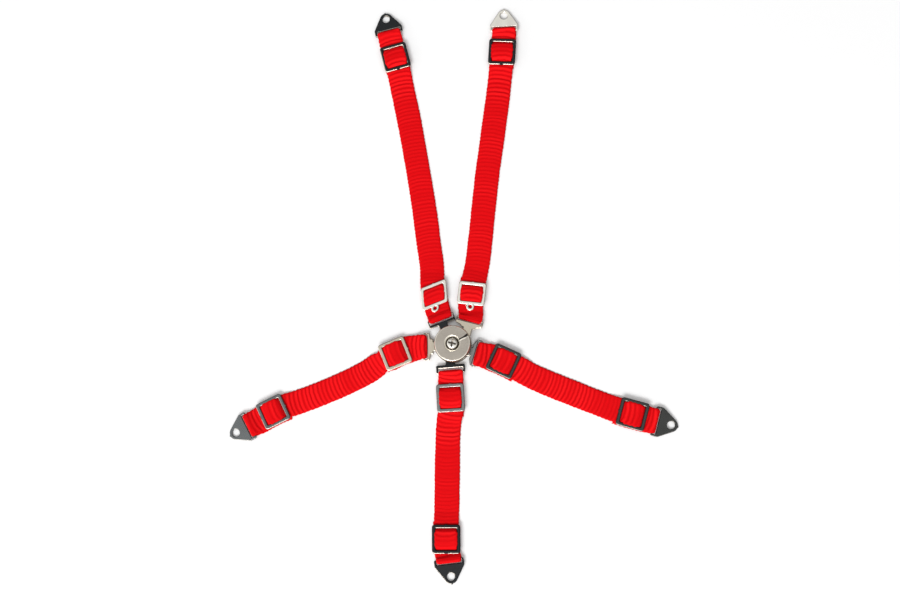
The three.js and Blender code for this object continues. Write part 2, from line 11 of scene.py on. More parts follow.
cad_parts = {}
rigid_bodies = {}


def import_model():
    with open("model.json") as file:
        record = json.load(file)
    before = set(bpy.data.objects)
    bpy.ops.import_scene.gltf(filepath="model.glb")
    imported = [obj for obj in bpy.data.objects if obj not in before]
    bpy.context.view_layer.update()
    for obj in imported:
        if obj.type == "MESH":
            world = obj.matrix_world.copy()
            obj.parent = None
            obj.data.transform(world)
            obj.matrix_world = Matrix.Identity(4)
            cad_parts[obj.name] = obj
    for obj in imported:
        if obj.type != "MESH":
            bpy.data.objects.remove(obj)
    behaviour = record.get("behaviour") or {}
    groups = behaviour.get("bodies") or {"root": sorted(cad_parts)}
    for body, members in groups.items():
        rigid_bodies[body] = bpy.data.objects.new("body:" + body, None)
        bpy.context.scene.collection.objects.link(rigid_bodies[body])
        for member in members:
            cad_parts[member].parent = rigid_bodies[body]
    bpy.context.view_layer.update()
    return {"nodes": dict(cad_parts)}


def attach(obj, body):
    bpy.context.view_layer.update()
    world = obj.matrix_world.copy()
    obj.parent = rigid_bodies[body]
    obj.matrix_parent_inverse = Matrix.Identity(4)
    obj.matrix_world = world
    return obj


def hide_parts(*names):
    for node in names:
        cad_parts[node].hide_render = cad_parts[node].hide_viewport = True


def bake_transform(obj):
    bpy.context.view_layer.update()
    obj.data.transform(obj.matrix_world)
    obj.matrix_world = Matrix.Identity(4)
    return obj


for o in list(bpy.data.objects):
    bpy.data.objects.remove(o, do_unlink=True)

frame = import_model()
SCENE = bpy.context.scene

# ------------------------------------------------------------------ layout, mm (same as the CAD)
WEB_W, WEB_T = 7.6, 0.4
METAL_T = 0.5
LOW, HIGH = 0.2, 0.7
FOLD_R, BAR_Z, BAR_W, SLOT, SLOT_L = 0.65, 0.9, 0.5, 1.0, 7.8
TONGUE_W, TONGUE_AT, BLADE_X, NECK_W, BLADE_TIP_W, LATCH_R = 8.6, 1.75, 2.25, 2.9, 1.7, 0.4
ANCHOR_W, HOLE_X, HOLE_R, TIP_R, TILT = 9.1, 5.1, 1.2, 2.1, 0.0835
SLIDER_W, SLIDER_L, SLIDER_BAR, SLIDER_MID, SLIDER_Z = 8.7, 8.7, 1.1, 0.9, 1.05
DSLIDER_W, DSLIDER_L, EYE_R, EYE_OUT, EYE_HOLE_R = 8.7, 7.3, 1.3, 0.5, 0.52
RIB_BOW = 0.55    # how far the middle of a rib stands out towards the anchor

ARMS = {
    "left_shoulder": dict(
        tongue=(-3.46, 6.89, 110.2), blade=4.2, slot=1.1, cross=1.0, wide=0, side=0, step=0,
        inner=(-6, 15.65, 105.1), lean=-5, eye=True, square=(16, 95),
        run=[(-6.92, 25.62), (-8.01, 33.36), (-8.99, 41.13), (-10.18, 48.98), (-11.49, 56.87), (-12.88, 64.83), (-14.35, 72.85), (-16.05, 80.93)],
        outer=(-18.84, 93.93, 104.2), hole=(-22.08, 107.13, 102.6),
        finish=("black", "bright", "black", "black"), shine=(0.8, 0.6, 1.0, 0.5), ribs=(0.75, 0.95, 1.75), fill=(0.30, 0.42), pitch=(1.17, 1.2, 1.38), tails=(-0.25, 0.2)),
    "right_shoulder": dict(
        tongue=(4.87, 6.3, 74.9), blade=4.1, slot=0.8, cross=1.5, wide=4.6, side=0.9, step=0.4,
        inner=(5.82, 15.95, 83), eye=True,
        run=[(7.52, 25.36), (8.49, 33.01), (9.29, 40.72), (10.14, 48.46), (11.04, 56.26), (12.2, 64.09), (13.26, 71.97), (14.34, 79.89)],
        outer=(15.83, 94.42, 86.1), hole=(16.43, 106.81, 90.7),
        finish=("pale", "bright", "black", "bright"), shine=(0.15, 0.6, 0.7, 0.5), ribs=(0.8, 1.05, 2.0), fill=(0.22, 0.42), pitch=(1.2, 1.22, 1.42), tails=(0.25, -0.2)),
    "left_lap": dict(
        tongue=(-7.37, -0.55, 181.2), blade=3.7, slot=0.8, cross=0.95, wide=4.8, side=0.7, step=0.9,
        inner=(-18.19, -2.62, 202), lean=5, eye=False,
        run=[(-26.18, -7.69), (-31.84, -10.68), (-37.51, -13.2), (-43.2, -15.47), (-48.89, -17.5)],
        outer=(-56.64, -20.48, 206), hole=(-68.53, -27.08, 208.4),
        finish=("pale", "pale", "grey", "grey"), shine=(0.15, 0.5, 0.6, 0.3), ribs=(2.0, 2.0, 1.8), pinch=((14.0, 1.3),), fill=(0.22, 0.42), pitch=(1.31, 1.32, 1.38), tails=(0.75, 0.7)),
    "right_lap": dict(
        tongue=(6.07, -2.48, -16.7), blade=2.7, slot=0.8, cross=1.2, wide=5, side=0.35, step=0,
        inner=(15.6, -5.32, -25.1), eye=False,
        run=[(23.69, -9.66), (29.18, -12.16), (34.64, -14.41), (40.07, -16.61), (45.48, -18.77)],
        outer=(54.62, -21.83, -15.7), hole=(65.99, -25.17, -15.2),
        finish=("steel", "slate", "slate", "slate"), shine=(0.6, 0.16, 0.22, 0.2), ribs=(1.8, 1.5, 1.4), fill=(0.22, 0.42), pitch=(1.38, 1.22, 1.27), tails=(-0.75, -0.6)),
    "crotch": dict(
        tongue=(-0.9, -6.91, -86), blade=3.1, slot=1.1, cross=1.05, wide=0, side=0, step=0, broad=9.0,
        inner=(-0.85, -16.52, -87), eye=False,
        run=[(-1.49, -24.53), (-1.76, -29.43), (-1.92, -39.14), (-2.04, -48.79)],
        outer=(-2.17, -59.26, -89.5), hole=(-0.79, -70.45, -83),
        finish=("black", "steel", "black", "black"), shine=(1.0, 0.25, 0.5, 0.4), ribs=(2.1, 0.7, 0.7), fill=(0.0, 0.42), pitch=(1.36, 1.22, 1.16), tails=(0.2, -0.2)),
}


def vdir(a):
    return np.array([math.cos(math.radians(a)), math.sin(math.radians(a))])


def sstep(a, b, x):
    t = np.clip((np.asarray(x, float) - a) / (b - a), 0, 1)
    return t * t * (3 - 2 * t)


def hash01(*k):
    """a repeatable number from 0 to 1 for whole numbers"""
    h = 2166136261
    for v in k:
        h = ((h ^ (int(v) & 0xFFFFFFFF)) * 16777619) & 0xFFFFFFFF
        h ^= h >> 15
        h = (h * 2246822519) & 0xFFFFFFFF
        h ^= h >> 13
    return h / 4294967295.0


def wander(x, step, seed):
    """smooth repeatable wander from -1 to 1 along x"""
    x = np.atleast_1d(np.asarray(x, float)) / step
    i = np.floor(x).astype(int)
    f = x - i
    f = f * f * (3 - 2 * f)
    a = np.array([hash01(k + 5000, seed) for k in i])
    b = np.array([hash01(k + 5001, seed) for k in i])
    return (a + (b - a) * f) * 2 - 1


# ------------------------------------------------------------------ plan path of a strap
def catmull(pts, n=600):
    pts = [np.array(p, float) for p in pts]
    l = len(pts)
    out = []
    for q in range(n + 1):
        p = (l - 1) * q / n
        i = int(math.floor(p))
        w = p - i
        if w == 0 and i == l - 1:
            i, w = l - 2, 1.0
        p0 = pts[i - 1] if i > 0 else 2 * pts[0] - pts[1]
        p1, p2 = pts[i], pts[i + 1]
        p3 = pts[i + 2] if i + 2 < l else 2 * pts[l - 1] - pts[l - 2]
        d = [float((a - b) @ (a - b)) ** 0.25 for a, b in ((p0, p1), (p1, p2), (p2, p3))]
        t1 = ((p1 - p0) / d[0] - (p2 - p0) / (d[0] + d[1]) + (p2 - p1) / d[1]) * d[1]
        t2 = ((p2 - p1) / d[1] - (p3 - p1) / (d[1] + d[2]) + (p3 - p2) / d[2]) * d[1]
        out.append(p1 + t1 * w + (-3 * p1 + 3 * p2 - 2 * t1 - t2) * w * w + (2 * p1 - 2 * p2 + t1 + t2) * w ** 3)
    return np.array(out)


class Plan:
    def __init__(self, q):
        self.td, self.ad = vdir(q["tongue"][2]), vdir(q["hole"][2])
        idr, od = vdir(q["inner"][2] + q.get("lean", 0)), vdir(q["outer"][2])
        self.T = np.array(q["tongue"][:2]) + self.td * TONGUE_AT
        self.A = np.array(q["hole"][:2]) - self.ad * HOLE_X
        I, O = np.array(q["inner"][:2]), np.array(q["outer"][:2])
        self.P = catmull([self.T, self.T + self.td * 0.9, I - idr * 3, I + idr * 3] + list(q["run"])
                         + [O - od * 3, O + od * 2.6, self.A - self.ad * 0.9, self.A])
        self.S = np.concatenate([[0], np.cumsum(np.linalg.norm(np.diff(self.P, axis=0), axis=1))])
        self.L = float(self.S[-1])
        self.si = float(self.S[np.argmin(np.linalg.norm(self.P - I, axis=1))])
        self.so = float(self.S[np.argmin(np.linalg.norm(self.P - O, axis=1))])

    def at(self, s):
        s = np.asarray(s, float)
        x, y = np.interp(s, self.S, self.P[:, 0]), np.interp(s, self.S, self.P[:, 1])
        h = 0.35
        a, b = np.clip(s - h, 0, self.L), np.clip(s + h, 0, self.L)
        dx = np.interp(b, self.S, self.P[:, 0]) - np.interp(a, self.S, self.P[:, 0])
        dy = np.interp(b, self.S, self.P[:, 1]) - np.interp(a, self.S, self.P[:, 1])
        ends = [(s < 0, self.T, self.td, s), (s > self.L, self.A, self.ad, s - self.L)]
        for m, c, d, r in ends:
            x, y = np.where(m, c[0] + d[0] * r, x), np.where(m, c[1] + d[1] * r, y)
            dx, dy = np.where(m, d[0], dx), np.where(m, d[1], dy)
        n = np.hypot(dx, dy)
        return np.stack([x, y], -1), np.stack([dx / n, dy / n], -1)


# ------------------------------------------------------------------ materials
MATS = {}


class Nodes:
    """short spelling for a node tree"""

    def __init__(self, name):
        self.m = bpy.data.materials.new(name)
        self.m.use_nodes = True
        self.t = self.m.node_tree
        self.b = self.t.nodes["Principled BSDF"]
        MATS[name] = self.m

    def new(self, kind, **kw):
        n = self.t.nodes.new(kind)
        for k, v in kw.items():
            setattr(n, k, v)
        return n

    def put(self, a, b):
        self.t.links.new(a, b)

    def attr(self, name):
        return self.new("ShaderNodeAttribute", attribute_name=name).outputs["Fac"]

    def math(self, op, a, b=None, c=None, clamp=False):
        n = self.new("ShaderNodeMath", operation=op, use_clamp=clamp)
        for i, v in enumerate((a, b, c)):
            if v is None:
                continue
            if isinstance(v, (int, float)):
                n.inputs[i].default_value = v
            else:
                self.put(v, n.inputs[i])
        return n.outputs[0]

    def noise(self, scale, detail=3.0, rough=0.5, vec=None, dist=0.0):
        n = self.new("ShaderNodeTexNoise")
        n.inputs["Scale"].default_value = scale
        n.inputs["Detail"].default_value = detail
        n.inputs["Roughness"].default_value = rough
        n.inputs["Distortion"].default_value = dist
        if vec is None:
            vec = self.new("ShaderNodeTexCoord").outputs["Object"]
        self.put(vec, n.inputs["Vector"])
        return n.outputs["Fac"]

    def ramp(self, fac, stops):
        n = self.new("ShaderNodeValToRGB")
        e = n.color_ramp.elements
        while len(e) > 1:
            e.remove(e[-1])
        for i, (p, c) in enumerate(stops):
            if i:
                x = e.new(p)
            else:
                x = e[0]
                x.position = p
            x.color = (*c, 1) if len(c) == 3 else (c[0], c[0], c[0], 1)
        self.put(fac, n.inputs["Fac"])
        return n.outputs["Color"]

    def mix(self, fac, a, b, kind="MIX"):
        n = self.new("ShaderNodeMix", data_type="RGBA", blend_type=kind)
        for s, v in (("Factor", fac), ("A", a), ("B", b)):
            i = [x for x in n.inputs if x.name == s and x.type == ("VALUE" if s == "Factor" else "RGBA")][0]
            if isinstance(v, (int, float)):
                i.default_value = v
            elif isinstance(v, tuple):
                i.default_value = (*v, 1)
            else:
                self.put(v, i)
        return [x for x in n.outputs if x.type == "RGBA"][0]

    def bump(self, height, strength, distance, under=None):
        n = self.new("ShaderNodeBump")
        n.inputs["Strength"].default_value = strength
        n.inputs["Distance"].default_value = distance
        self.put(height, n.inputs["Height"])
        if under is not None:
            self.put(under, n.inputs["Normal"])
        return n.outputs["Normal"]

    def range(self, v, a, b, c, d):
        n = self.new("ShaderNodeMapRange")
        self.put(v, n.inputs["Value"])
        for k, x in zip(("From Min", "From Max", "To Min", "To Max"), (a, b, c, d)):
            n.inputs[k].default_value = x
        return n.outputs["Result"]


def webbing_material():
    n = Nodes("webbing")
    b = n.b
    wu, wv, rib = n.attr("wu"), n.attr("wv"), n.attr("rib")
    # yarns: fine picks across and ends along, set off in every other row
    picks = n.math("SINE", n.math("MULTIPLY", wu, 2 * math.pi / 0.44))
    ends = n.math("SINE", n.math("ADD", n.math("MULTIPLY", wv, 2 * math.pi / 0.34), n.math("MULTIPLY", picks, 0.7)))
    weave = n.math("MULTIPLY_ADD", picks, 0.45, n.math("MULTIPLY", ends, 0.55))
    soft = n.noise(520, 4, 0.6)
    fine = n.noise(5200, 3, 0.7)
    # painted light: the rib value darkens the rib grooves as painted shade and brightens the ridges as a painted
    # highlight
    base = n.ramp(rib, [(0.0, (0.34, 0.0004, 0.0020)), (0.40, (0.56, 0.0008, 0.0028)), (0.75, (0.68, 0.0018, 0.0042)), (1.0, (0.88, 0.0080, 0.0105))])
    tone = n.mix(n.range(soft, 0.35, 0.7, 0.0, 0.30), base, (0.62, 0.0030, 0.0045))
    # painted shade in the weave's hollows: the colour darkens where the weave height used for the bump is low
    tone = n.mix(n.range(weave, -1.0, 1.0, 0.16, 0.0), tone, (0.42, 0.0010, 0.0030))
    n.put(tone, b.inputs["Base Color"])
    n.put(n.range(fine, 0.3, 0.7, 0.62, 0.82), b.inputs["Roughness"])
    b.inputs["Specular IOR Level"].default_value = 0.05
    b.inputs["Sheen Weight"].default_value = 0.02
    b.inputs["Sheen Roughness"].default_value = 0.45
    b.inputs["Sheen Tint"].default_value = (1.0, 0.35, 0.35, 1)
    n1 = n.bump(weave, 0.55, 0.00004)
    n2 = n.bump(fine, 0.35, 0.00003, n1)
    n.put(n2, b.inputs["Normal"])


def metal_material(name, flat, edge, rough, grain=0.0, spread=0.05, blotch=0.06, wave=0.25, far_shade=None):
    """plated sheet: tone and roughness wander a little; a positive edge attribute turns the colour to the edge colour,
    a painted highlight on plate roundings facing the lamp and mostly a painted shade on the turned buckle parts; a
    negative one turns it to the far-side painted shade
    """
    n = Nodes(name)
    b = n.b
    e = n.attr("edge")
    cloud = n.noise(260, 3, 0.5)
    speck = n.noise(3800, 3, 0.65)
    lo = tuple(c * (1 - blotch) for c in flat)
    hi = tuple(min(1.0, c * (1 + blotch)) for c in flat)
    col = n.ramp(cloud, [(0.32, lo), (0.68, hi)])
    col = n.mix(n.math("MAXIMUM", e, 0.0), col, edge)
    if far_shade is not None:
        col = n.mix(n.math("MAXIMUM", n.math("MULTIPLY", e, -1.0), 0.0), col, far_shade)
    n.put(col, b.inputs["Base Color"])
    b.inputs["Metallic"].default_value = 1.0
    r = n.math("MULTIPLY_ADD", n.range(speck, 0.3, 0.7, -1, 1), spread, rough)
    n.put(n.math("MAXIMUM", r, 0.05), b.inputs["Roughness"])
    n1 = n.bump(cloud, wave, 0.00006)
    n2 = n.bump(speck, 0.22, 0.00001, n1)
    if grain:
        co = n.new("ShaderNodeTexCoord").outputs["Object"]
        mp = n.new("ShaderNodeMapping")
        mp.inputs["Scale"].default_value = (500, 14000, 3000)
        mp.inputs["Rotation"].default_value = (0, 0, 0.5)
        n.put(co, mp.inputs["Vector"])
        g = n.noise(1.0, 3, 0.6, mp.outputs["Vector"])
        n2 = n.bump(g, grain, 0.000012, n2)
    n.put(n2, b.inputs["Normal"])


webbing_material()
# the cream edge colour is a painted highlight on roundings that face the lamp; the fifth column below is the painted
# shade on roundings that face away
LIT_EDGE = (0.78, 0.70, 0.60)
for name, flat, edge, rough, far_shade, wall in (
        ("black", (0.034, 0.036, 0.038), LIT_EDGE, 0.26, (0.012, 0.012, 0.013), (0.030, 0.030, 0.031)),
        ("slate", (0.070, 0.072, 0.070), LIT_EDGE, 0.27, (0.028, 0.028, 0.028), (0.060, 0.058, 0.055)),
        ("grey", (0.180, 0.190, 0.193), LIT_EDGE, 0.28, (0.095, 0.095, 0.095), (0.20, 0.19, 0.18)),
        ("steel", (0.270, 0.268, 0.264), LIT_EDGE, 0.28, (0.15, 0.15, 0.15), (0.24, 0.23, 0.22)),
        ("pale", (0.670, 0.600, 0.485), (0.88, 0.82, 0.70), 0.22, (0.26, 0.23, 0.19), (0.55, 0.50, 0.42)),
        ("bright", (0.960, 0.925, 0.840), (0.93, 0.88, 0.78), 0.20, (0.42, 0.38, 0.33), (0.62, 0.57, 0.49))):
    metal_material(name + "_metal", flat, edge, rough, far_shade=far_shade)
    metal_material("wall_" + name, wall, wall, 0.32)
# knurled wall: its near-black edge colour is painted shade in the bottoms of the grooves
metal_material("knurl_metal", (0.20, 0.15, 0.105), (0.03, 0.022, 0.016), 0.30)
# lip_metal is brighter than the knob's satin face: a painted highlight on the knob's rim rounding, the dish side, the
# slit's near lip and its bead; the housing's catch takes it too
metal_material("lip_metal", (0.93, 0.88, 0.78), (0.93, 0.88, 0.78), 0.22)
# satin's bright edge colour on the last steps of the knob's rim rounding continues the painted highlight
metal_material("satin_metal", (0.50, 0.455, 0.395), (0.90, 0.85, 0.74), 0.30, grain=0.5)
# rim_metal's near-black edge colour is painted shade at the housing's foot, in the gap between housing and knob, inside
# the housing and on the knob's underside
metal_material("rim_metal", (0.70, 0.62, 0.50), (0.16, 0.11, 0.07), 0.24)
metal_material("screw_metal", (0.90, 0.87, 0.80), (0.16, 0.14, 0.12), 0.12, blotch=0.02, wave=0.1)
# dark_metal: painted shade on the dish floor round the screw and in the slit; the latch plate takes it too
metal_material("dark_metal", (0.055, 0.048, 0.042), (0.02, 0.018, 0.016), 0.45)
# painted shade for the screw's cross recess and the dark ring round its head
metal_material("recess_shade", (0.150, 0.130, 0.110), (0.10, 0.085, 0.07), 0.35)


# ------------------------------------------------------------------ mesh helpers
def make(name, verts, faces, mats, face_mat=None, attrs=None, smooth=True, place=None):
    """verts in mm (n, 3) -> an object in metres; place is a 4x4 in mm"""
    v = np.asarray(verts, float)
    if place is not None:
        v = v @ place[:3, :3].T + place[:3, 3]
    me = bpy.data.meshes.new(name)
    me.from_pydata((v * 0.001).tolist(), [], faces)
    for m in mats:
        me.materials.append(MATS[m])
    if face_mat is not None:
        me.polygons.foreach_set("material_index", np.asarray(face_mat, np.int32))
    for k, a in (attrs or {}).items():
        at = me.attributes.new(k, "FLOAT", "POINT")
        at.data.foreach_set("value", np.asarray(a, np.float32))
    me.validate()
    me.polygons.foreach_set("use_smooth", [smooth] * len(me.polygons))
    me.update()
    o = bpy.data.objects.new(name, me)
    SCENE.collection.objects.link(o)
    return o


def frame_at(x, y, z, deg, tilt=0.0):
    """local -> row frame: turn about Y by tilt, then about Z by deg, then move"""
    m = Matrix.Translation((x, y, z)) @ Matrix.Rotation(math.radians(deg), 4, "Z") @ Matrix.Rotation(tilt, 4, "Y")
    return np.array(m)


def area2(p):
    p = np.asarray(p, float)
    return float(np.sum(p[:, 0] * np.roll(p[:, 1], -1) - np.roll(p[:, 0], -1) * p[:, 1]))


def rounded(pts, seg=6):
    """polygon with a radius at each corner: [(x, y, r)]"""
    out = []
    n = len(pts)
    for i in range(n):
        p = np.array(pts[i][:2], float)
        r = pts[i][2]
        if not r:
            out.append(p)
            continue
        a, b = np.array(pts[i - 1][:2], float), np.array(pts[(i + 1) % n][:2], float)
        u, v = (a - p) / np.linalg.norm(a - p), (b - p) / np.linalg.norm(b - p)
        half = math.acos(max(-1, min(1, float(u @ v)))) / 2
        cut = r / math.tan(half)
        w = (u + v) / np.linalg.norm(u + v)
        c = p + w * r / math.sin(half)
        s0, s1 = p + u * cut - c, p + v * cut - c
        a0 = math.atan2(s0[1], s0[0])
        da = math.atan2(s1[1], s1[0]) - a0
        da = (da + math.pi) % (2 * math.pi) - math.pi
        for k in range(seg + 1):
            t = a0 + da * k / seg
            out.append(c + r * np.array([math.cos(t), math.sin(t)]))
    return out


def refine(loop, step):
    out = []
    n = len(loop)
    for i in range(n):
        a, b = np.asarray(loop[i], float), np.asarray(loop[(i + 1) % n], float)
        k = max(1, int(math.ceil(np.linalg.norm(b - a) / step)))
        out += [a + (b - a) * j / k for j in range(k)]
    return out


def circle(x, y, r, n=40):
    return [np.array([x + r * math.cos(2 * math.pi * i / n), y + r * math.sin(2 * math.pi * i / n)]) for i in range(n)]


def offset(loop, d, scale=None):
    """moves a loop to its left by d, with mitres; scale gives each point's own share"""
    p = np.asarray(loop, float)
    e = np.roll(p, -1, 0) - p
    e /= np.maximum(np.linalg.norm(e, axis=1, keepdims=True), 1e-9)
    n = np.stack([-e[:, 1], e[:, 0]], 1)
    n0 = np.roll(n, 1, 0)
    m = n + n0
    k = 1 + np.sum(n * n0, axis=1)
    m /= np.maximum(k, 0.5)[:, None]
    s = 1.0 if scale is None else np.asarray(scale)[:, None]
    return p + m * d * s


# painted light: roundings facing the key lamp (lower left) take a painted highlight, roundings facing away take a
# painted shade
LAMP_SIDE = np.array([-0.42, -0.907])


def lamp_facing(loop, deg):
    """1 where the edge of a loop faces the lamp side and gets the painted highlight, 0 where it faces away and gets the
    painted shade; deg turns the plate
    """
    p = np.asarray(loop, float)
    e = np.roll(p, -1, 0) - p
    e /= np.maximum(np.linalg.norm(e, axis=1, keepdims=True), 1e-9)
    out = np.stack([e[:, 1], -e[:, 0]], 1)
    out = out + np.roll(out, 1, 0)
    out /= np.maximum(np.linalg.norm(out, axis=1, keepdims=True), 1e-9)
    c, s = math.cos(math.radians(deg)), math.sin(math.radians(deg))
    w = out @ (np.array([[c, s], [-s, c]]) @ LAMP_SIDE)
    return sstep(0.05, 0.8, w)


def plate_mesh(outline, holes, z0, z1, bevel, steps=4, walls=True, scale=None, under=None, deg=None, shine=1.0, shade_mask=None):
    """flat plate with rounded edges. Returns verts, faces, face material (0 face, 1 wall), edge attribute;
    the edge attribute is 1 on a rounding with the painted highlight, -1 on one with the painted shade."""
    loops = [list(outline)] + [list(h) for h in holes]
    if area2(loops[0]) < 0:
        loops[0].reverse()
    for h in loops[1:]:
        if area2(h) > 0:
            h.reverse()
    under = bevel if under is None else under
    rings = []  # (inset, z, edge value, wall above this ring?)
    rings.append((under + 0.05, z0, 0.0))
    for k in range(steps + 1):
        a = math.pi / 2 * k / steps
        rings.append((under * (1 - math.sin(a)), z0 + under * (1 - math.cos(a)), 1.0))
    for k in range(steps + 1):
        a = math.pi / 2 * k / steps
        rings.append((bevel * (1 - math.cos(a)), z1 - bevel * (1 - math.sin(a)), 1.0 if k < steps else 0.35))
    rings.append((bevel + 0.05, z1, 0.0))
    verts, faces, fm, ed = [], [], [], []
    starts = []
    # painted light: edge values run from -1 (painted shade) up to shine (painted highlight) by how far each rounding
    # faces the lamp; masked points get painted shade
    side = [np.ones(len(lp)) if deg is None else lamp_facing(lp, deg) * (1 + shine) - 1 for lp in loops]
    if shade_mask is not None:
        side = [np.where(shade_mask(np.asarray(lp, float)), -0.6, w) for lp, w in zip(loops, side)]
    for inset, z, e in rings:
        row = []
        for i, lp in enumerate(loops):
            q = offset(lp, inset, scale if i == 0 else None)
            row.append(len(verts))
            verts += [(x, y, z) for x, y in q]
            ed += list(e * side[i])
        starts.append(row)
    for r in range(len(rings) - 1):
        wall = r == steps + 1
        for i, lp in enumerate(loops):
            a, b, n = starts[r][i], starts[r + 1][i], len(lp)
            for k in range(n):
                faces.append((a + k, a + (k + 1) % n, b + (k + 1) % n, b + k))
                fm.append(1 if wall and walls else 0)
    for r, flip in ((0, True), (len(rings) - 1, False)):
        flat, back = [], []
        for i, lp in enumerate(loops):
            idx = list(range(starts[r][i], starts[r][i] + len(lp)))
            flat.append([Vector(verts[j]) for j in idx])
            back += idx
        for t in tessellate_polygon(flat):
            f = tuple(back[j] for j in t)
            p = [np.array(verts[j][:2]) for j in f]
            up = (p[1][0] - p[0][0]) * (p[2][1] - p[0][1]) - (p[1][1] - p[0][1]) * (p[2][0] - p[0][0])
            if (up > 0) == flip:
                f = f[::-1]
            faces.append(f)
            fm.append(0)
    return np.array(verts), faces, fm, ed


def lathe_mesh(profile, seg, ripple=None):
    """closed turned solid: profile [(r, z, edge, material)] runs anticlockwise seen in the r-z plane with r to the right"""
    verts, faces, fm, ed = [], [], [], []
    rows = []
    for j, p in enumerate(profile):
        r, z, e = p[0], p[1], p[2]
        if r < 1e-6:
            rows.append([len(verts)])
            verts.append((0, 0, z))
            ed.append(e)
            continue
        row = []
        for k in range(seg):
            a = 2 * math.pi * k / seg
            dr = ripple(a, j) if ripple else 0.0
            row.append(len(verts))
            verts.append(((r + dr) * math.cos(a), (r + dr) * math.sin(a), z))
            # the deeper a ring is rippled, the more of its edge colour it takes: on the knurled wall that is a
            # near-black painted shade in the grooves
            ed.append(min(1.0, e + abs(dr) * 6))
        rows.append(row)
    n = len(profile)
    closed = profile[0][0] > 1e-6
    for j in range(n if closed else n - 1):
        a, b = rows[j], rows[(j + 1) % n]
        mi = profile[j][3]
        for k in range(seg):
            k1 = (k + 1) % seg
            if len(a) == 1 and len(b) == 1:
                continue
            if len(a) == 1:
                faces.append((a[0], b[k1], b[k]))
            elif len(b) == 1:
                faces.append((a[k], a[k1], b[0]))
            else:
                faces.append((a[k], a[k1], b[k1], b[k]))
            fm.append(mi)
    return np.array(verts), faces, fm, ed


def outward(o):
    """turn the faces outward"""
    import bmesh
    bm = bmesh.new()
    bm.from_mesh(o.data)
    bmesh.ops.recalc_face_normals(bm, faces=bm.faces)
    bm.to_mesh(o.data)
    bm.free()
    return o


def triangles(o):
    import bmesh
    bm = bmesh.new()
    bm.from_mesh(o.data)
    bmesh.ops.triangulate(bm, faces=bm.faces)
    bm.to_mesh(o.data)
    bm.free()
    return o


def cut_with(o, cutters):
    """takes cutters away from o, exactly"""
    for c in cutters:
        m = o.modifiers.new("cut", "BOOLEAN")
        m.operation, m.solver, m.object = "DIFFERENCE", "EXACT", c
    dg = bpy.context.evaluated_depsgraph_get()
    me = bpy.data.meshes.new_from_object(o.evaluated_get(dg))
    o.modifiers.clear()
    o.data = me
    for c in cutters:
        bpy.data.objects.remove(c, do_unlink=True)
    return o


# ------------------------------------------------------------------ webbing
def strap_profile(q, p):
    """(s, z) of the ribbon's mid-line from the tail at the buckle end to the tail at the anchor end"""
    hi = (DSLIDER_L if q["eye"] else SLIDER_L) / 2
    ho = SLIDER_L / 2
    si, so, L = p.si, p.so, p.L
    pts = [(si + hi + 0.7, LOW), (si, LOW), (1.6, LOW), (0.35, BAR_Z - FOLD_R)]
    for k in range(17):
        a = -math.pi / 2 - math.pi * k / 16
        pts.append((FOLD_R * math.cos(a), BAR_Z + FOLD_R * math.sin(a)))
    near = si - hi - EYE_R - 1.0 if q["eye"] else si - hi - 0.2
    down = max(1.4, min(near, 3.0))
    top = BAR_Z + FOLD_R
    pts += [(0.35, top - 0.02), (0.8, top - 0.14), ((0.8 + down) / 2, (top - 0.14 + HIGH) / 2), (down, HIGH + 0.02)]
    pts += [(si - hi, HIGH), (si, HIGH), (si + hi + 0.9, HIGH), (si + hi + 2.4, (HIGH + LOW) / 2), (si + hi + 4.0, LOW)]
    pts += [(so - ho - 4.0, LOW), (so - ho - 2.4, (HIGH + LOW) / 2), (so - ho - 0.9, HIGH), (so, HIGH), (so + ho - 0.1, HIGH)]
    rise = max(so + ho + 0.6, L - 2.6)
    pts += [(rise, HIGH), ((rise + L - 0.6) / 2, (top - 0.1 + HIGH) / 2), (L - 0.6, top - 0.1), (L - 0.3, top - 0.02)]
    for k in range(17):
        a = math.pi / 2 - math.pi * k / 16
        pts.append((L + FOLD_R * math.cos(a), BAR_Z + FOLD_R * math.sin(a)))
    pts += [(L - 0.35, BAR_Z - FOLD_R), (L - 1.6, LOW), (so, LOW), (so - ho - 0.7, LOW)]
    pts = np.array(pts)
    d = np.concatenate([[0], np.cumsum(np.linalg.norm(np.diff(pts, axis=0), axis=1))])
    fine = 0.04
    g = np.arange(0, d[-1], fine)
    s, z = np.interp(g, d, pts[:, 0]), np.interp(g, d, pts[:, 1])
    k = np.exp(-0.5 * (np.arange(-24, 25) * fine / 0.24) ** 2)
    k /= k.sum()
    pad = lambda v: np.concatenate([2 * v[0] - v[24:0:-1], v, 2 * v[-1] - v[-2:-26:-1]])
    s, z = np.convolve(pad(s), k, "valid"), np.convolve(pad(z), k, "valid")
    d = np.concatenate([[0], np.cumsum(np.hypot(np.diff(s), np.diff(z)))])
    step = 0.11
    n = int(round(d[-1] / step))
    g = np.linspace(0, d[-1], n + 1)
    return g, np.interp(g, d, s), np.interp(g, d, z)


LAT = 23  # samples across the top of a ribbon


def rib_height(ph):
    """0 in the groove, 1 on the ridge"""
    return np.abs(np.sin(np.pi * ph)) ** 0.62


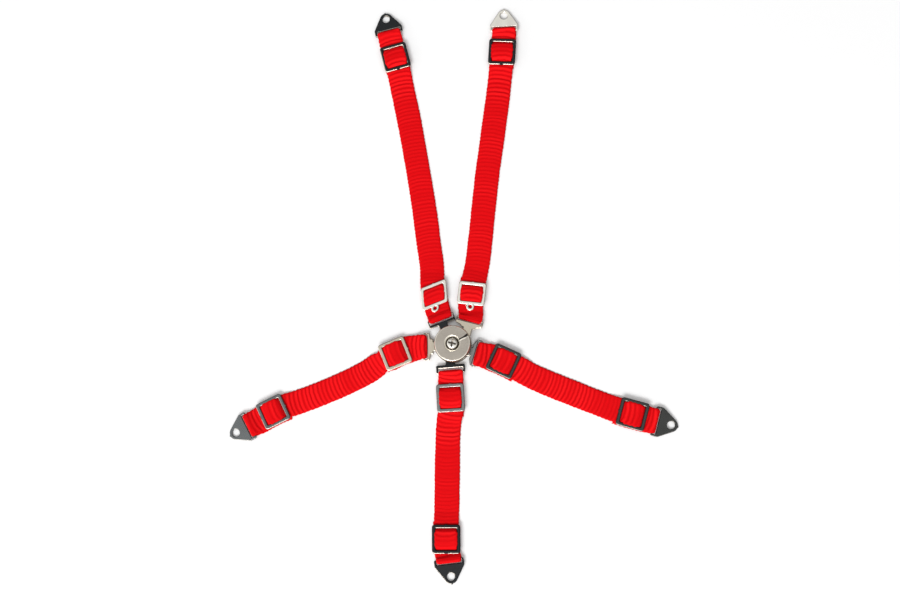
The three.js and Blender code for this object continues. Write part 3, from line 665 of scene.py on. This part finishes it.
def ribbon_mesh(centre, across, up, u, force, pitch, width, shift, seed, fray=(0.35, 0.35), curl=None, bow=RIB_BOW, flat=0.12, thick=None):
    """centre, across, up: (n, 3) along the ribbon; u: distance along it; force (of the ribs), pitch, width, shift: (n,)"""
    amp = 0.042 * force ** 0.75
    count = np.concatenate([[0], np.cumsum(np.diff(u) / (0.5 * (pitch[1:] + pitch[:-1])))]) + hash01(seed, 77)
    n = len(u)
    v = np.sin(np.linspace(-math.pi / 2, math.pi / 2, LAT) * 0.94) / math.sin(math.pi / 2 * 0.94)
    v = v * 0.55 + np.linspace(-1, 1, LAT) * 0.45
    thick = np.full(n, WEB_T) if thick is None else thick
    round_ = (1 - np.abs(v) ** 9) ** 0.5
    round_ = np.maximum(round_, 0.0)
    window = sstep(1.0, 1 - flat * 1.6, np.abs(v)) * 0.92 + 0.08
    verts = np.zeros((n, 2 * LAT - 2, 3))
    wu = np.zeros((n, 2 * LAT - 2))
    wv = np.zeros((n, 2 * LAT - 2))
    rib_shading = np.zeros((n, 2 * LAT - 2))
    # a rib runs flat over the middle and turns back near both edges, a little differently each time
    shape = 1 - np.abs(v) ** 2.6
    tilt = 0.10 * wander(count, 3.0, seed + 31) + 0.05 * wander(count, 0.9, seed + 37)
    lean = 0.22 + 0.20 * wander(count, 2.2, seed + 41)
    ph = count[:, None] - (bow * (1 + lean[:, None]) * shape[None, :]) / pitch[:, None] + tilt[:, None] * v[None, :]
    # the weave is never perfectly even
    ph = ph + 0.055 * np.stack([wander(u + 1.7 * j, 2.3, seed + 11) for j in range(LAT)], 1) + 0.09 * wander(count, 1.3, seed + 51)[:, None]
    h = rib_height(ph)
    # some ribs stand out more than others
    own = np.clip(1 + 0.38 * wander(ph.ravel(), 1.0, seed + 61).reshape(ph.shape), 0.3, 1.6)
    edge_wob = 0.05 * np.cos(2 * math.pi * count)[:, None] * np.abs(v)[None, :] ** 6
    edge_wob = edge_wob + 0.05 * wander(u, 0.7, seed)[:, None] * (v[None, :] > 0.6) * np.abs(v) ** 4 + 0.05 * wander(u, 0.7, seed + 5)[:, None] * (v[None, :] < -0.6) * np.abs(v) ** 4
    half = width[:, None] / 2
    lat = half * v[None, :] * (1 + 0.0) + edge_wob * np.sign(v)[None, :] + shift[:, None]
    crown = np.zeros((n, LAT)) if curl is None else curl[:, None] * (1 - v[None, :] ** 2)
    # loose thread ends at both cut ends
    along = np.zeros((n, LAT))
    for end, (a, ln) in enumerate(zip((0, n - 1), fray)):
        if not ln:
            continue
        w = np.exp(-np.abs(np.arange(n) - a) * (u[1] - u[0]) / 0.25)
        jag = np.array([hash01(seed, end, j) * 1.2 - 0.3 for j in range(LAT)]) * ln
        along += w[:, None] * jag[None, :] * (-1 if end == 0 else 1)
    tang = np.gradient(centre, axis=0)
    tang /= np.linalg.norm(tang, axis=1, keepdims=True)
    top = (h - 0.55) * amp[:, None] * own * window[None, :]
    deep = 0.55 * np.minimum(force, 2.2)[:, None] * own
    # painted shade in the rib grooves and painted highlight on the ridges, handed to the material as the rib attribute
    groove_ridge_shading = np.clip(0.60 + (h * window - 0.60 * window) * deep, 0, 1)
    for side in (0, 1):
        # a gathered fold grows outward only, clear of the bar inside it
        z = (thick if side == 0 else np.minimum(thick, WEB_T))[:, None] / 2 * round_[None, :] + top
        z = np.maximum(z, 0.03)
        if side:
            z = -z
        z = z + crown
        pts = centre[:, None, :] + across[:, None, :] * lat[..., None] + up[:, None, :] * z[..., None] + tang[:, None, :] * along[..., None]
        if side == 0:
            verts[:, :LAT] = pts
            rib_shading[:, :LAT] = groove_ridge_shading
            wu[:, :LAT], wv[:, :LAT] = u[:, None], lat
        else:
            inner = pts[:, 1:-1][:, ::-1]
            verts[:, LAT:] = inner
            rib_shading[:, LAT:] = groove_ridge_shading[:, 1:-1][:, ::-1]
            wu[:, LAT:], wv[:, LAT:] = u[:, None], lat[:, 1:-1][:, ::-1]
    # the outermost samples are the edge line itself; their rib value of 0.30 darkens it as painted shade
    for j in (0, LAT - 1):
        verts[:, j] = centre + across * lat[:, j][:, None] + tang * along[:, j][:, None] + up * crown[:, j][:, None]
        rib_shading[:, j] = 0.30
    m = verts.shape[1]
    faces = []
    for i in range(n - 1):
        for k in range(m):
            k1 = (k + 1) % m
            faces.append((i * m + k, i * m + k1, (i + 1) * m + k1, (i + 1) * m + k))
    # ends closed as strips
    for i, flip in ((0, False), (n - 1, True)):
        for k in range(LAT - 1):
            a, b = i * m + k, i * m + k + 1
            c = i * m + (m - k - 1) % m if k + 1 < LAT - 1 else i * m + LAT - 1
            lo = lambda j: i * m + (LAT + (LAT - 2 - j) if 0 < j < LAT - 1 else (0 if j == 0 else LAT - 1))
            f = [i * m + k, i * m + k + 1, lo(k + 1), lo(k)]
            f = [x for x, y in zip(f, f[1:] + f[:1]) if x != y]
            if len(set(f)) >= 3:
                faces.append(tuple(dict.fromkeys(f if not flip else f[::-1])))
    return verts.reshape(-1, 3), faces, dict(wu=wu.ravel(), wv=wv.ravel(), rib=rib_shading.ravel())


def strap(arm, q):
    p = Plan(q)
    u, s, z = strap_profile(q, p)
    pos, d = p.at(s)
    ds, dz = np.gradient(s), np.gradient(z)
    l = np.hypot(ds, dz)
    t = np.stack([d[:, 0] * ds / l, d[:, 1] * ds / l, dz / l], 1)
    across = np.stack([-d[:, 1], d[:, 0], np.zeros(len(s))], 1)
    up = np.cross(t, across)
    centre = np.stack([pos[:, 0], pos[:, 1], z], 1)
    seed = sum(ord(c) for c in arm)
    hi = (DSLIDER_L if q["eye"] else SLIDER_L) / 2
    ho = SLIDER_L / 2
    # which way along the ribbon: the two folds split it in tail, run, tail
    fold_a = np.argmin(s)
    fold_b = np.argmax(s)
    idx = np.arange(len(s))
    run = (idx > fold_a) & (idx < fold_b)
    mid = (p.si + p.so) / 2
    near = sstep(p.si + hi + 14, p.si + hi + 5, s)
    far = sstep(p.so - ho - 15, p.so - ho - 8, s)
    a0, a1, a2 = q["ribs"]
    force = a1 + (a0 - a1) * near + (a2 - a1) * far
    force = force * (1 + 0.22 * wander(u, 5.0, seed + 2))
    # inside a slider and round the folds the ribbon is squeezed smooth
    for c, h in ((p.si, hi), (p.so, ho)):
        force = force * (1 - 0.5 * sstep(h + 0.6, h - 0.4, np.abs(s - c)))
    b0, b1, b2 = q["pitch"]
    pitch = b1 + (b0 - b1) * near + (b2 - b1) * far
    width = WEB_W + 0.12 + 0.10 * wander(u, 9.0, seed + 3)
    width = width - 0.12 * sstep(2.4, 0.2, s) * run - 0.12 * sstep(p.L - 2.4, p.L - 0.2, s) * run
    width = width - 0.55 * np.clip(-(s - 0.1) / 0.75, 0, 1) ** 2 - 0.25 * np.clip((s - p.L + 0.1) / 0.75, 0, 1) ** 2
    for c, less in q.get("pinch", ()):
        width = width - less * np.exp(-((s - c) / 1.4) ** 2)
    # the part that dips into the slot when the strap is lifted is drawn in clear of its ends
    under = np.clip((BAR_Z + 0.15 - z) / 0.45, 0, 1)
    width = width - 0.45 * under * np.clip((1.7 - s) / 0.8, 0, 1)
    # gathered thicker where it fills a slot
    thick = WEB_T + q["fill"][0] * sstep(0.25, -0.35, s) + q["fill"][1] * sstep(p.L - 0.25, p.L + 0.35, s)
    shift = np.zeros(len(s))
    ta, tb = q["tails"]
    da = (u[fold_a] - u)
    shift += np.where(idx < fold_a, ta * sstep(1.5, 6.0, da), 0)
    db = (u - u[fold_b])
    shift += np.where(idx > fold_b, tb * sstep(0.0, 5.0, db), 0)
    lim = (SLOT_L / 2 - 0.06)
    curl = 0.05 * run * sstep(p.si + hi + 2, p.si + hi + 8, s) * sstep(p.so - ho - 2, p.so - ho - 8, s)
    verts, faces, at = ribbon_mesh(centre, across, up, u, force, pitch, width, shift, seed, curl=curl, thick=thick)
    o = outward(make(arm + "_strap_webbing", verts, faces, ["webbing"], attrs=at))
    if "shoulder" in arm:
        c, dd = p.at(mid)
        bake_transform(o)
        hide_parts(arm + "_webbing", arm + "_webbing_far")
    else:
        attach(o, arm + "_strap")
        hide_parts(arm + "_webbing")
    return p


def slider_place(q, end):
    """where a slider sits; one frame is pushed out of square"""
    x, y, deg = q[end]
    if end == "inner" and "square" in q:
        skew, to = q["square"]
        m = np.eye(4)
        m[0, 1], m[1, 1] = -math.sin(math.radians(skew)), math.cos(math.radians(skew))
        return frame_at(x, y, 0, to) @ m
    return frame_at(x, y, 0, deg)


def hump(arm, end, q):
    """the ribbon where it climbs through the slider and over its middle bar; +X along the strap"""
    x, y, deg = q[end]
    eye = q["eye"] and end == "inner"
    half = (DSLIDER_L if eye else SLIDER_L) / 2 - SLIDER_BAR + 0.35
    win = (DSLIDER_W if eye else SLIDER_W) - 2 * SLIDER_BAR
    prof = [(-1.0, 0.80), (-0.93, 0.82), (-0.87, 0.95), (-0.78, 1.32), (-0.68, 1.66), (-0.56, 1.87), (-0.3, 2.0), (0, 2.04)]
    prof = prof + [(-a, b) for a, b in prof[-2::-1]]
    pr = catmull([(a * half, b) for a, b in prof], 400)
    d = np.concatenate([[0], np.cumsum(np.linalg.norm(np.diff(pr, axis=0), axis=1))])
    n = int(round(d[-1] / (0.09)))
    u = np.linspace(0, d[-1], n + 1)
    sx, z = np.interp(u, d, pr[:, 0]), np.interp(u, d, pr[:, 1])
    t = np.stack([np.gradient(sx), np.zeros(len(u)), np.gradient(z)], 1)
    t /= np.linalg.norm(t, axis=1, keepdims=True)
    across = np.stack([np.zeros(len(u)), np.ones(len(u)), np.zeros(len(u))], 1)
    up = np.cross(t, across)
    centre = np.stack([sx, np.zeros(len(u)), z], 1)
    seed = sum(ord(c) for c in arm + end)
    out = sstep(1.66, 1.98, z)
    width = (win - 0.05) + out * 0.55
    width = width + 0.12 * out * wander(u, 0.9, seed)
    force = 1.25 + 0.8 * wander(sx, 1.9, seed + 9)
    verts, faces, at = ribbon_mesh(centre, across, up, u, force, np.full(len(u), 1.45), width, np.zeros(len(u)), seed, fray=(0, 0), curl=-0.10 * out)
    o = outward(make(f"{arm}_{end}_slider_webbing", verts, faces, ["webbing"], attrs=at, place=slider_place(q, end)))
    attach(o, f"{arm}_{end}_slider")
    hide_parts(f"{arm}_{end}_hump")


# ------------------------------------------------------------------ plates
def rect(x0, x1, y0, y1, r):
    return [(x0, y0, r), (x1, y0, r), (x1, y1, r), (x0, y1, r)]


def slider(arm, end, q):
    x, y, deg = q[end]
    eye = q["eye"] and end == "inner"
    w = (DSLIDER_W if eye else SLIDER_W) / 2
    l = (DSLIDER_L if eye else SLIDER_L) / 2
    nub = 0.3
    if eye:
        cx = -l - EYE_OUT
        a0 = math.acos(EYE_OUT / EYE_R)
        arc = [(cx + EYE_R * math.cos(a0 + (2 * math.pi - 2 * a0) * k / 28), EYE_R * math.sin(a0 + (2 * math.pi - 2 * a0) * k / 28), 0) for k in range(29)]
        line = rounded([(-l, -w, 0.9), (l, -w, 0.9), (l, -nub, 0), (l + 0.16, -nub * 0.6, 0), (l + 0.16, nub * 0.6, 0), (l, nub, 0), (l, w, 0.9), (-l, w, 0.9)] + arc)
    else:
        line = rounded([(-l, -w, 0.9), (l, -w, 0.9), (l, w, 0.9), (-l, w, 0.9), (-l, nub, 0), (-l - 0.16, nub * 0.6, 0), (-l - 0.16, -nub * 0.6, 0), (-l, -nub, 0)])
    iw, il = w - SLIDER_BAR, l - SLIDER_BAR
    holes = [rounded(rect(-il, -SLIDER_MID / 2, -iw, iw, 0.28)), rounded(rect(SLIDER_MID / 2, il, -iw, iw, 0.28))]
    if eye:
        holes.append(circle(-l - EYE_OUT, 0, EYE_HOLE_R, 24))
    turn = deg if not (end == "inner" and "square" in q) else q["square"][1]
    # the middles of a plain slider's short ends, round the nub, are masked to the painted shade colour
    v, f, fm, ed = plate_mesh(refine(line, 0.35), [refine(h, 0.35) for h in holes], SLIDER_Z, SLIDER_Z + METAL_T, 0.26, under=0.08, deg=turn,
                             shine=q["shine"][1 if end == "inner" else 2], shade_mask=lambda a: (np.abs(a[:, 1]) < 0.45) & (np.abs(a[:, 0]) > l - 0.02) if not eye else np.zeros(len(a), bool))
    kind = q["finish"][1 if end == "inner" else 2]
    o = make(f"{arm}_{end}_slider_frame", v, f, [kind + "_metal", "wall_" + kind], fm, dict(edge=ed), place=slider_place(q, end))
    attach(o, f"{arm}_{end}_slider")
    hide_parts(f"{arm}_{end}_slider")


def tongue(arm, q, p):
    w, x1, nw = q.get("broad", TONGUE_W) / 2, BAR_W / 2, NECK_W / 2
    sx = -x1 - q["slot"]
    x0 = sx - q["cross"]
    tip = -BLADE_X - q["blade"]
    flank = [(x1, w, 0.4)]
    if q["wide"]:
        flank += [(sx - q["side"], w, 0.35), (x0, q["wide"] / 2, 0.25)]
        if q["step"]:
            flank.append((x0 - q["step"], q["wide"] / 2, 0.25))
        flank.append((x0 - q["step"], nw, 0.1))
    else:
        flank += [(x0, w, 0.45), (x0, nw, 0.3)]
    flank += [(tip + 1.3, nw, 0), (tip, BLADE_TIP_W / 2, 0.25)]
    line = rounded(flank + [(x, -y, r) for x, y, r in flank[::-1]])
    holes = [rounded(rect(sx, -x1, -SLOT_L / 2, SLOT_L / 2, 0.25)), circle(tip + 0.95, 0, LATCH_R, 20)]
    v, f, fm, ed = plate_mesh(refine(line, 0.4), [refine(h, 0.4) for h in holes], -METAL_T / 2, METAL_T / 2, 0.24, under=0.08, deg=q["tongue"][2], shine=q["shine"][0])
    kind = q["finish"][0]
    o = make(f"{arm}_tongue_plate", v, f, [kind + "_metal", "wall_" + kind], fm, dict(edge=ed), place=frame_at(p.T[0], p.T[1], BAR_Z, q["tongue"][2]))
    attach(o, arm + "_tongue")
    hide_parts(arm + "_tongue")


def anchor(arm, q, p):
    w, back, sx, h, sh = ANCHOR_W / 2, -BAR_W / 2, BAR_W / 2 + SLOT, HOLE_X, 1.9
    dx = h - sh
    t = math.pi - (math.atan2(w, dx) + math.acos(TIP_R / math.hypot(dx, w)))
    nose = []
    for k in range(33):
        a = -t + 2 * t * k / 32
        burr = 0.3 * math.exp(-((a / 0.11) ** 2))
        nose.append((h + (TIP_R + burr) * math.cos(a), (TIP_R + burr) * math.sin(a), 0))
    line = rounded([(back, -w, 0.45), (sh, -w, 0.8)] + nose + [(sh, w, 0.8), (back, w, 0.45)])
    holes = [rounded(rect(BAR_W / 2, sx, -SLOT_L / 2, SLOT_L / 2, 0.25)), circle(h, 0, HOLE_R, 44)]
    v, f, fm, ed = plate_mesh(refine(line, 0.4), [refine(h, 0.4) for h in holes], -METAL_T / 2, METAL_T / 2, 0.18, under=0.08, deg=q["hole"][2], shine=q["shine"][3])
    kind = q["finish"][3]
    o = make(f"{arm}_anchor_plate", v, f, [kind + "_metal", "wall_" + kind], fm, dict(edge=ed), place=frame_at(p.A[0], p.A[1], BAR_Z, q["hole"][2], TILT))
    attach(o, arm + "_anchor")
    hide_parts(arm + "_anchor")


for arm, q in ARMS.items():
    plan = strap(arm, q)
    for end in ("inner", "outer"):
        hump(arm, end, q)
        slider(arm, end, q)
    tongue(arm, q, plan)
    anchor(arm, q, plan)

# ------------------------------------------------------------------ buckle
HOUSING_R, HOUSING_IN_R, HOUSING_H, FLOOR = 5.72, 4.85, 4.0, 0.5
KNOB_R, KNOB_Z, KNOB_TOP, DISH_R, DISH_Z = 5.48, 4.1, 5.0, 2.45, 4.4
GROOVES = 84


def sharp(o, deg):
    """corners steeper than deg are shaded as corners"""
    o.data.set_sharp_from_angle(angle=math.radians(deg))
    return o


def knurl(a, j):
    """narrow upright grooves round the wall"""
    return -0.17 * (0.5 + 0.5 * math.cos(a * GROOVES)) ** 2 if 4 <= j <= 7 else 0.0


def housing():
    # edge values near 1 on the foot, the top face and the inside turn the housing near-black there: painted shade
    prof = [(0, 0, 0.3, 0), (HOUSING_R - 0.25, 0, 0.3, 0), (HOUSING_R - 0.06, 0.08, 0.8, 0), (HOUSING_R, 0.25, 0.2, 0),
            (HOUSING_R, 0.6, 0.0, 1), (HOUSING_R, 1.8, 0.0, 1), (HOUSING_R, 3.0, 0.0, 1), (HOUSING_R, 3.65, 0.0, 1), (HOUSING_R, 3.8, 0.5, 0),
            (HOUSING_R - 0.08, HOUSING_H, 0.9, 0), (HOUSING_IN_R + 0.05, HOUSING_H, 0.6, 0), (HOUSING_IN_R, HOUSING_H - 0.06, 0.6, 0),
            (HOUSING_IN_R, FLOOR, 0.8, 0), (1.1, FLOOR, 0.8, 0), (1.05, 3.55, 0.4, 0), (1.0, 3.6, 0.4, 0), (0.62, 3.6, 0.6, 0), (0.62, 0.8, 1.0, 0), (0, 0.8, 1.0, 0)]
    v, f, fm, ed = lathe_mesh(prof, GROOVES * 6, knurl)
    o = outward(make("buckle_housing_body", v, f, ["rim_metal", "knurl_metal"], fm, dict(edge=ed)))
    cutters = []
    for q in ARMS.values():
        d = vdir(q["tongue"][2])
        p = Plan(q)
        along = float(p.T @ d) - 1.45
        off = abs(p.T[0] * d[1] - p.T[1] * d[0])
        inner = math.sqrt(max(0.1, (HOUSING_IN_R - 0.5) ** 2 - off ** 2)) - 0.4
        mid, ln = (along + 1.5 + inner) / 2, along + 1.5 - inner
        c = p.T - d * (float(p.T @ d) - mid)
        line = rounded(rect(-ln / 2, ln / 2, -1.75, 1.75, 0.1), 3)
        vv, ff, _, _ = plate_mesh(line, [], 0.53, 1.35, 0.06, steps=2)
        cutters.append(outward(make("cut", vv, ff, ["dark_metal"], place=frame_at(c[0], c[1], 0, q["tongue"][2]))))
    triangles(o)
    cut_with(o, cutters)
    sharp(o, 50)
    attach(o, "buckle")
    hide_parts("buckle_housing")
    # small catch standing out of the wall
    line = rounded([(5.45, -0.42, 0.05), (6.02, -0.42, 0.16), (6.22, -0.15, 0.12), (6.22, 0.15, 0.12), (6.02, 0.42, 0.16), (5.45, 0.42, 0.05)], 4)
    v, f, fm, ed = plate_mesh(line, [], 2.5, 3.45, 0.14, steps=3)
    nub = outward(make("buckle_housing_catch", v, f, ["lip_metal", "lip_metal"], fm, dict(edge=ed), place=frame_at(0, 0, 0, -35)))
    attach(nub, "buckle")


SLIT_FLOOR = 4.6
SLIT = [(2.1, 1.0), (3.3, 1.60), (4.1, 1.98), (4.55, 2.22), (6.4, 2.95), (6.4, 3.85), (4.95, 3.22), (4.25, 2.78), (3.7, 2.28), (3.1, 1.86), (2.0, 1.33)]


def knob():
    """turned disc: slightly crowned face, sloping side of the dish round the screw, slit that flares to a notch; bright
    lip_metal on the rim rounding and the dish side is a painted highlight, and rim_metal's dark edge on the underside
    and dark_metal on the dish floor are painted shade
    """
    prof = [(1.15, KNOB_Z, 0.6, 1), (KNOB_R - 0.3, KNOB_Z, 0.6, 1), (KNOB_R - 0.05, KNOB_Z + 0.10, 0.9, 1), (KNOB_R, KNOB_Z + 0.22, 0.2, 1), (KNOB_R, KNOB_TOP - 0.42, 0.2, 2)]
    for k in range(1, 7):
        a = math.pi / 2 * k / 6
        prof.append((KNOB_R - 0.22 * (1 - math.cos(a)), KNOB_TOP - 0.42 + 0.24 * math.sin(a), 1.0 if k < 5 else 0.5, 2 if k < 5 else 0))
    r0, r1, n = KNOB_R - 0.34, DISH_R + 0.10, 12
    for k in range(n + 1):
        r = r0 + (r1 - r0) * k / n
        prof.append((r, KNOB_TOP - 0.02 - 0.15 * (r / KNOB_R) ** 2.2, 0.0, 0))
    top = KNOB_TOP - 0.02 - 0.15 * (r1 / KNOB_R) ** 2.2
    prof += [(DISH_R + 0.04, top - 0.02, 0.6, 2), (DISH_R, top - 0.06, 1.0, 2), (1.88, DISH_Z + 0.06, 1.0, 3), (1.83, DISH_Z, 0.9, 3), (1.15, DISH_Z, 0.9, 3)]
    v, f, fm, ed = lathe_mesh(prof, 240)
    o = outward(make("buckle_knob_disc", v, f, ["satin_metal", "rim_metal", "lip_metal", "dark_metal"], fm, dict(edge=ed)))
    # the slit, and above it a wider, shallow cut that leaves a bright lip along the near side; the near wall and that
    # lip take lip_metal as a painted highlight, and the slit's floor and far wall take dark_metal as painted shade
    floor = [(x, y, SLIT_FLOOR) for x, y in SLIT]
    roof = [(x, y, KNOB_TOP + 0.6) for x, y in SLIT]
    n = len(SLIT)
    ff = [tuple(range(n))[::-1], tuple(range(n, 2 * n))] + [(i, (i + 1) % n, n + (i + 1) % n, n + i) for i in range(n)]
    fmat = [3, 3] + [2 if i <= 4 else 3 for i in range(n)]
    cut = outward(make("cut", np.array(floor + roof), ff, ["satin_metal", "rim_metal", "lip_metal", "dark_metal"], fmat, smooth=False))
    low = SLIT[:5]
    e = offset([np.array(p) for p in low] + [np.array((6.4, 6.0)), np.array((2.1, 6.0))], -0.30)[:5]
    # wedge between the slit's near edge and a line 0.3 further out, sloping down into the slit
    vv = [(x, y, KNOB_TOP - 0.30) for x, y in low] + [(x, y, KNOB_TOP + 0.02) for x, y in e] + [(x, y, KNOB_TOP + 0.5) for x, y in low] + [(x, y, KNOB_TOP + 0.5) for x, y in e]
    m = 5
    ff2 = []
    for i in range(m - 1):
        ff2 += [(i, i + 1, m + i + 1, m + i), (m + i, m + i + 1, 3 * m + i + 1, 3 * m + i), (3 * m + i, 3 * m + i + 1, 2 * m + i + 1, 2 * m + i), (2 * m + i, 2 * m + i + 1, i + 1, i)]
    ff2 += [(0, m, 3 * m, 2 * m), (m - 1, 3 * m - 1, 4 * m - 1, 2 * m - 1)]
    cut2 = outward(make("cut", np.array(vv), ff2, ["satin_metal", "rim_metal", "lip_metal", "dark_metal"], [2] * len(ff2), smooth=False))
    cut_with(o, [cut, cut2])
    sharp(o, 32)
    # rolled bead along the near side of the slit, thin at the dish and thickest half way; its bright lip_metal is a
    # painted highlight
    way = catmull([(2.35, 0.86), (2.8, 1.14), (3.35, 1.40), (4.0, 1.68), (4.35, 1.84), (4.75, 2.06)], 60)
    m = 14
    vv, ff = [], []
    for i, c in enumerate(way):
        t = way[min(i + 1, len(way) - 1)] - way[max(i - 1, 0)]
        t = t / np.linalg.norm(t)
        nrm = np.array([-t[1], t[0]])
        r = 0.25 * (0.45 + 0.55 * math.sin(math.pi * min(1.0, (i + 3) / len(way) * 1.15)) ** 0.6 if i < len(way) - 4 else 0.45)
        z = KNOB_TOP - 0.02 - 0.15 * (float(np.hypot(*c)) / KNOB_R) ** 2.2 - 0.04
        for k in range(m):
            a = 2 * math.pi * k / m
            vv.append((c[0] + nrm[0] * r * math.cos(a), c[1] + nrm[1] * r * math.cos(a), z + 0.8 * r * math.sin(a)))
    for i in range(len(way) - 1):
        ff += [(i * m + k, i * m + (k + 1) % m, (i + 1) * m + (k + 1) % m, (i + 1) * m + k) for k in range(m)]
    ff += [tuple(range(m))[::-1], tuple((len(way) - 1) * m + k for k in range(m))]
    bead = sharp(outward(make("buckle_knob_bead", np.array(vv), ff, ["lip_metal"])), 50)
    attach(bead, "knob")
    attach(o, "knob")
    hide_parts("buckle_knob")


def screw():
    """round head with a wide cross recess; the cross recess and the ring where the head drops into the dish are
    coloured dark as painted shade, and so is the darkened underside of the head
    """
    R, top = 1.77, 5.3
    z0 = DISH_Z + 0.1
    prof = [(0, 1.2, 0.5, 0), (0.42, 1.2, 0.5, 0), (0.5, 1.3, 0.5, 0), (0.5, z0, 0.8, 0), (R - 0.06, z0, 0.8, 1), (R, z0 + 0.05, 0.8, 1), (R, z0 + 0.14, 0.8, 1), (R - 0.14, z0 + 0.20, 0.6, 1), (R - 0.20, z0 + 0.24, 0.4, 0)]
    for k in range(1, 15):
        a = math.pi / 2 * k / 14
        prof.append(((R - 0.20) * math.cos(a) ** 0.85 if k < 14 else 0.0, z0 + 0.24 + (top - z0 - 0.24) * math.sin(a) ** 0.95, 0.0, 0))
    v, f, fm, ed = lathe_mesh(prof, 96)
    o = outward(make("buckle_screw_head", v, f, ["screw_metal", "recess_shade"], fm, dict(edge=ed)))
    cutters = []
    for a, l, w in ((-14, 1.42, 0.30), (76, 1.42, 0.30)):
        dz = 0.75
        vv = []
        for zz, k in ((top - dz, 0.42), (top - 0.2, 0.9), (top + 0.3, 1.1)):
            vv += [(-l * k, -w * (0.3 + 0.7 * k), zz), (l * k, -w * (0.3 + 0.7 * k), zz), (l * k, w * (0.3 + 0.7 * k), zz), (-l * k, w * (0.3 + 0.7 * k), zz)]
        ff = [(0, 3, 2, 1), (8, 9, 10, 11)]
        for b0 in (0, 4):
            ff += [(b0 + i, b0 + (i + 1) % 4, b0 + 4 + (i + 1) % 4, b0 + 4 + i) for i in range(4)]
        cutters.append(outward(make("cut", np.array(vv), ff, ["screw_metal", "recess_shade"], [1] * len(ff), smooth=False, place=frame_at(0, 0, 0, a))))
    cut_with(o, cutters)
    sharp(o, 45)
    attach(o, "buckle")
    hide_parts("buckle_screw")


housing()
knob()
screw()
latch = frame["nodes"]["buckle_latch_plate"]
for i in range(len(latch.material_slots)):
    latch.material_slots[i].material = MATS["dark_metal"]
if not latch.material_slots:
    latch.data.materials.append(MATS["dark_metal"])

WORLD_TOP, WORLD_SIDE = 0.80, 1.5

# ------------------------------------------------------------------ floor, light, camera
me = bpy.data.meshes.new("floor")
me.from_pydata([(-3, -3, 0), (3, -3, 0), (3, 3, 0), (-3, 3, 0)], [], [(0, 1, 2, 3)])
floor = bpy.data.objects.new("floor", me)
floor.location.z = -0.00002
SCENE.collection.objects.link(floor)
fm_ = Nodes("floor_paper")
fm_.b.inputs["Base Color"].default_value = (0.82, 0.82, 0.82, 1)
fm_.b.inputs["Emission Color"].default_value = (1, 1, 1, 1)
fm_.b.inputs["Emission Strength"].default_value = 0.03
fm_.b.inputs["Roughness"].default_value = 0.9
fm_.b.inputs["Specular IOR Level"].default_value = 0.1
me.materials.append(MATS["floor_paper"])

world = bpy.data.worlds.new("studio")
SCENE.world = world
world.use_nodes = True
wt = world.node_tree
bg = wt.nodes["Background"]
# a white studio: even overhead, brighter low down on the near left side, dim low down opposite
co = wt.nodes.new("ShaderNodeTexCoord")
xyz = wt.nodes.new("ShaderNodeSeparateXYZ")
wt.links.new(co.outputs["Generated"], xyz.inputs[0])


def wmath(op, a, b, clamp=False):
    n = wt.nodes.new("ShaderNodeMath")
    n.operation, n.use_clamp = op, clamp
    for i, v in enumerate((a, b)):
        if isinstance(v, (int, float)):
            n.inputs[i].default_value = v
        else:
            wt.links.new(v, n.inputs[i])
    return n.outputs[0]


low = wmath("POWER", wmath("SUBTRACT", 1.0, wmath("ABSOLUTE", xyz.outputs["Z"], 0.0), True), 1.2)
toward = wmath("ADD", wmath("MULTIPLY", xyz.outputs["X"], -0.45), wmath("MULTIPLY", xyz.outputs["Y"], -0.9))
glow = wmath("MAXIMUM", wmath("ADD", WORLD_TOP, wmath("MULTIPLY", wmath("MULTIPLY", low, toward), WORLD_SIDE)), 0.06)
bg.inputs["Color"].default_value = (1, 1, 1, 1)
wt.links.new(glow, bg.inputs["Strength"])


def lamp(name, loc, target, size, power, color=(1, 1, 1)):
    d = bpy.data.lights.new(name, "AREA")
    d.shape = "RECTANGLE"
    d.size, d.size_y = size
    d.energy = power
    d.color = color
    o = bpy.data.objects.new(name, d)
    o.location = loc
    o.rotation_euler = (Vector(target) - Vector(loc)).to_track_quat("-Z", "Y").to_euler()
    SCENE.collection.objects.link(o)
    return o


lamp("key", (-0.30, -0.84, 0.84), (0, 0, 0), (0.80, 0.36), 11.0)

C = Vector((0.03415918327, -0.03769090417, 0.34717940038))
back = Vector((0.10, -0.147, 0.9840686)).normalized()
Y = (Vector((0, 1, 0)) - back * back.y).normalized()
X = Y.cross(back)
cam_d = bpy.data.cameras.new("camera")
cam_d.lens, cam_d.sensor_width, cam_d.sensor_fit = 45, 36, "HORIZONTAL"
cam_d.clip_start, cam_d.clip_end = 0.01, 20
cam = bpy.data.objects.new("camera", cam_d)
cam.matrix_world = Matrix(((X.x, Y.x, back.x, C.x), (X.y, Y.y, back.y, C.y), (X.z, Y.z, back.z, C.z), (0, 0, 0, 1)))
SCENE.collection.objects.link(cam)
SCENE.camera = cam
SCENE.view_settings.view_transform = "Standard"
SCENE.view_settings.look = "None"
SCENE.view_settings.exposure = 0.0
SCENE.view_settings.gamma = 1.0
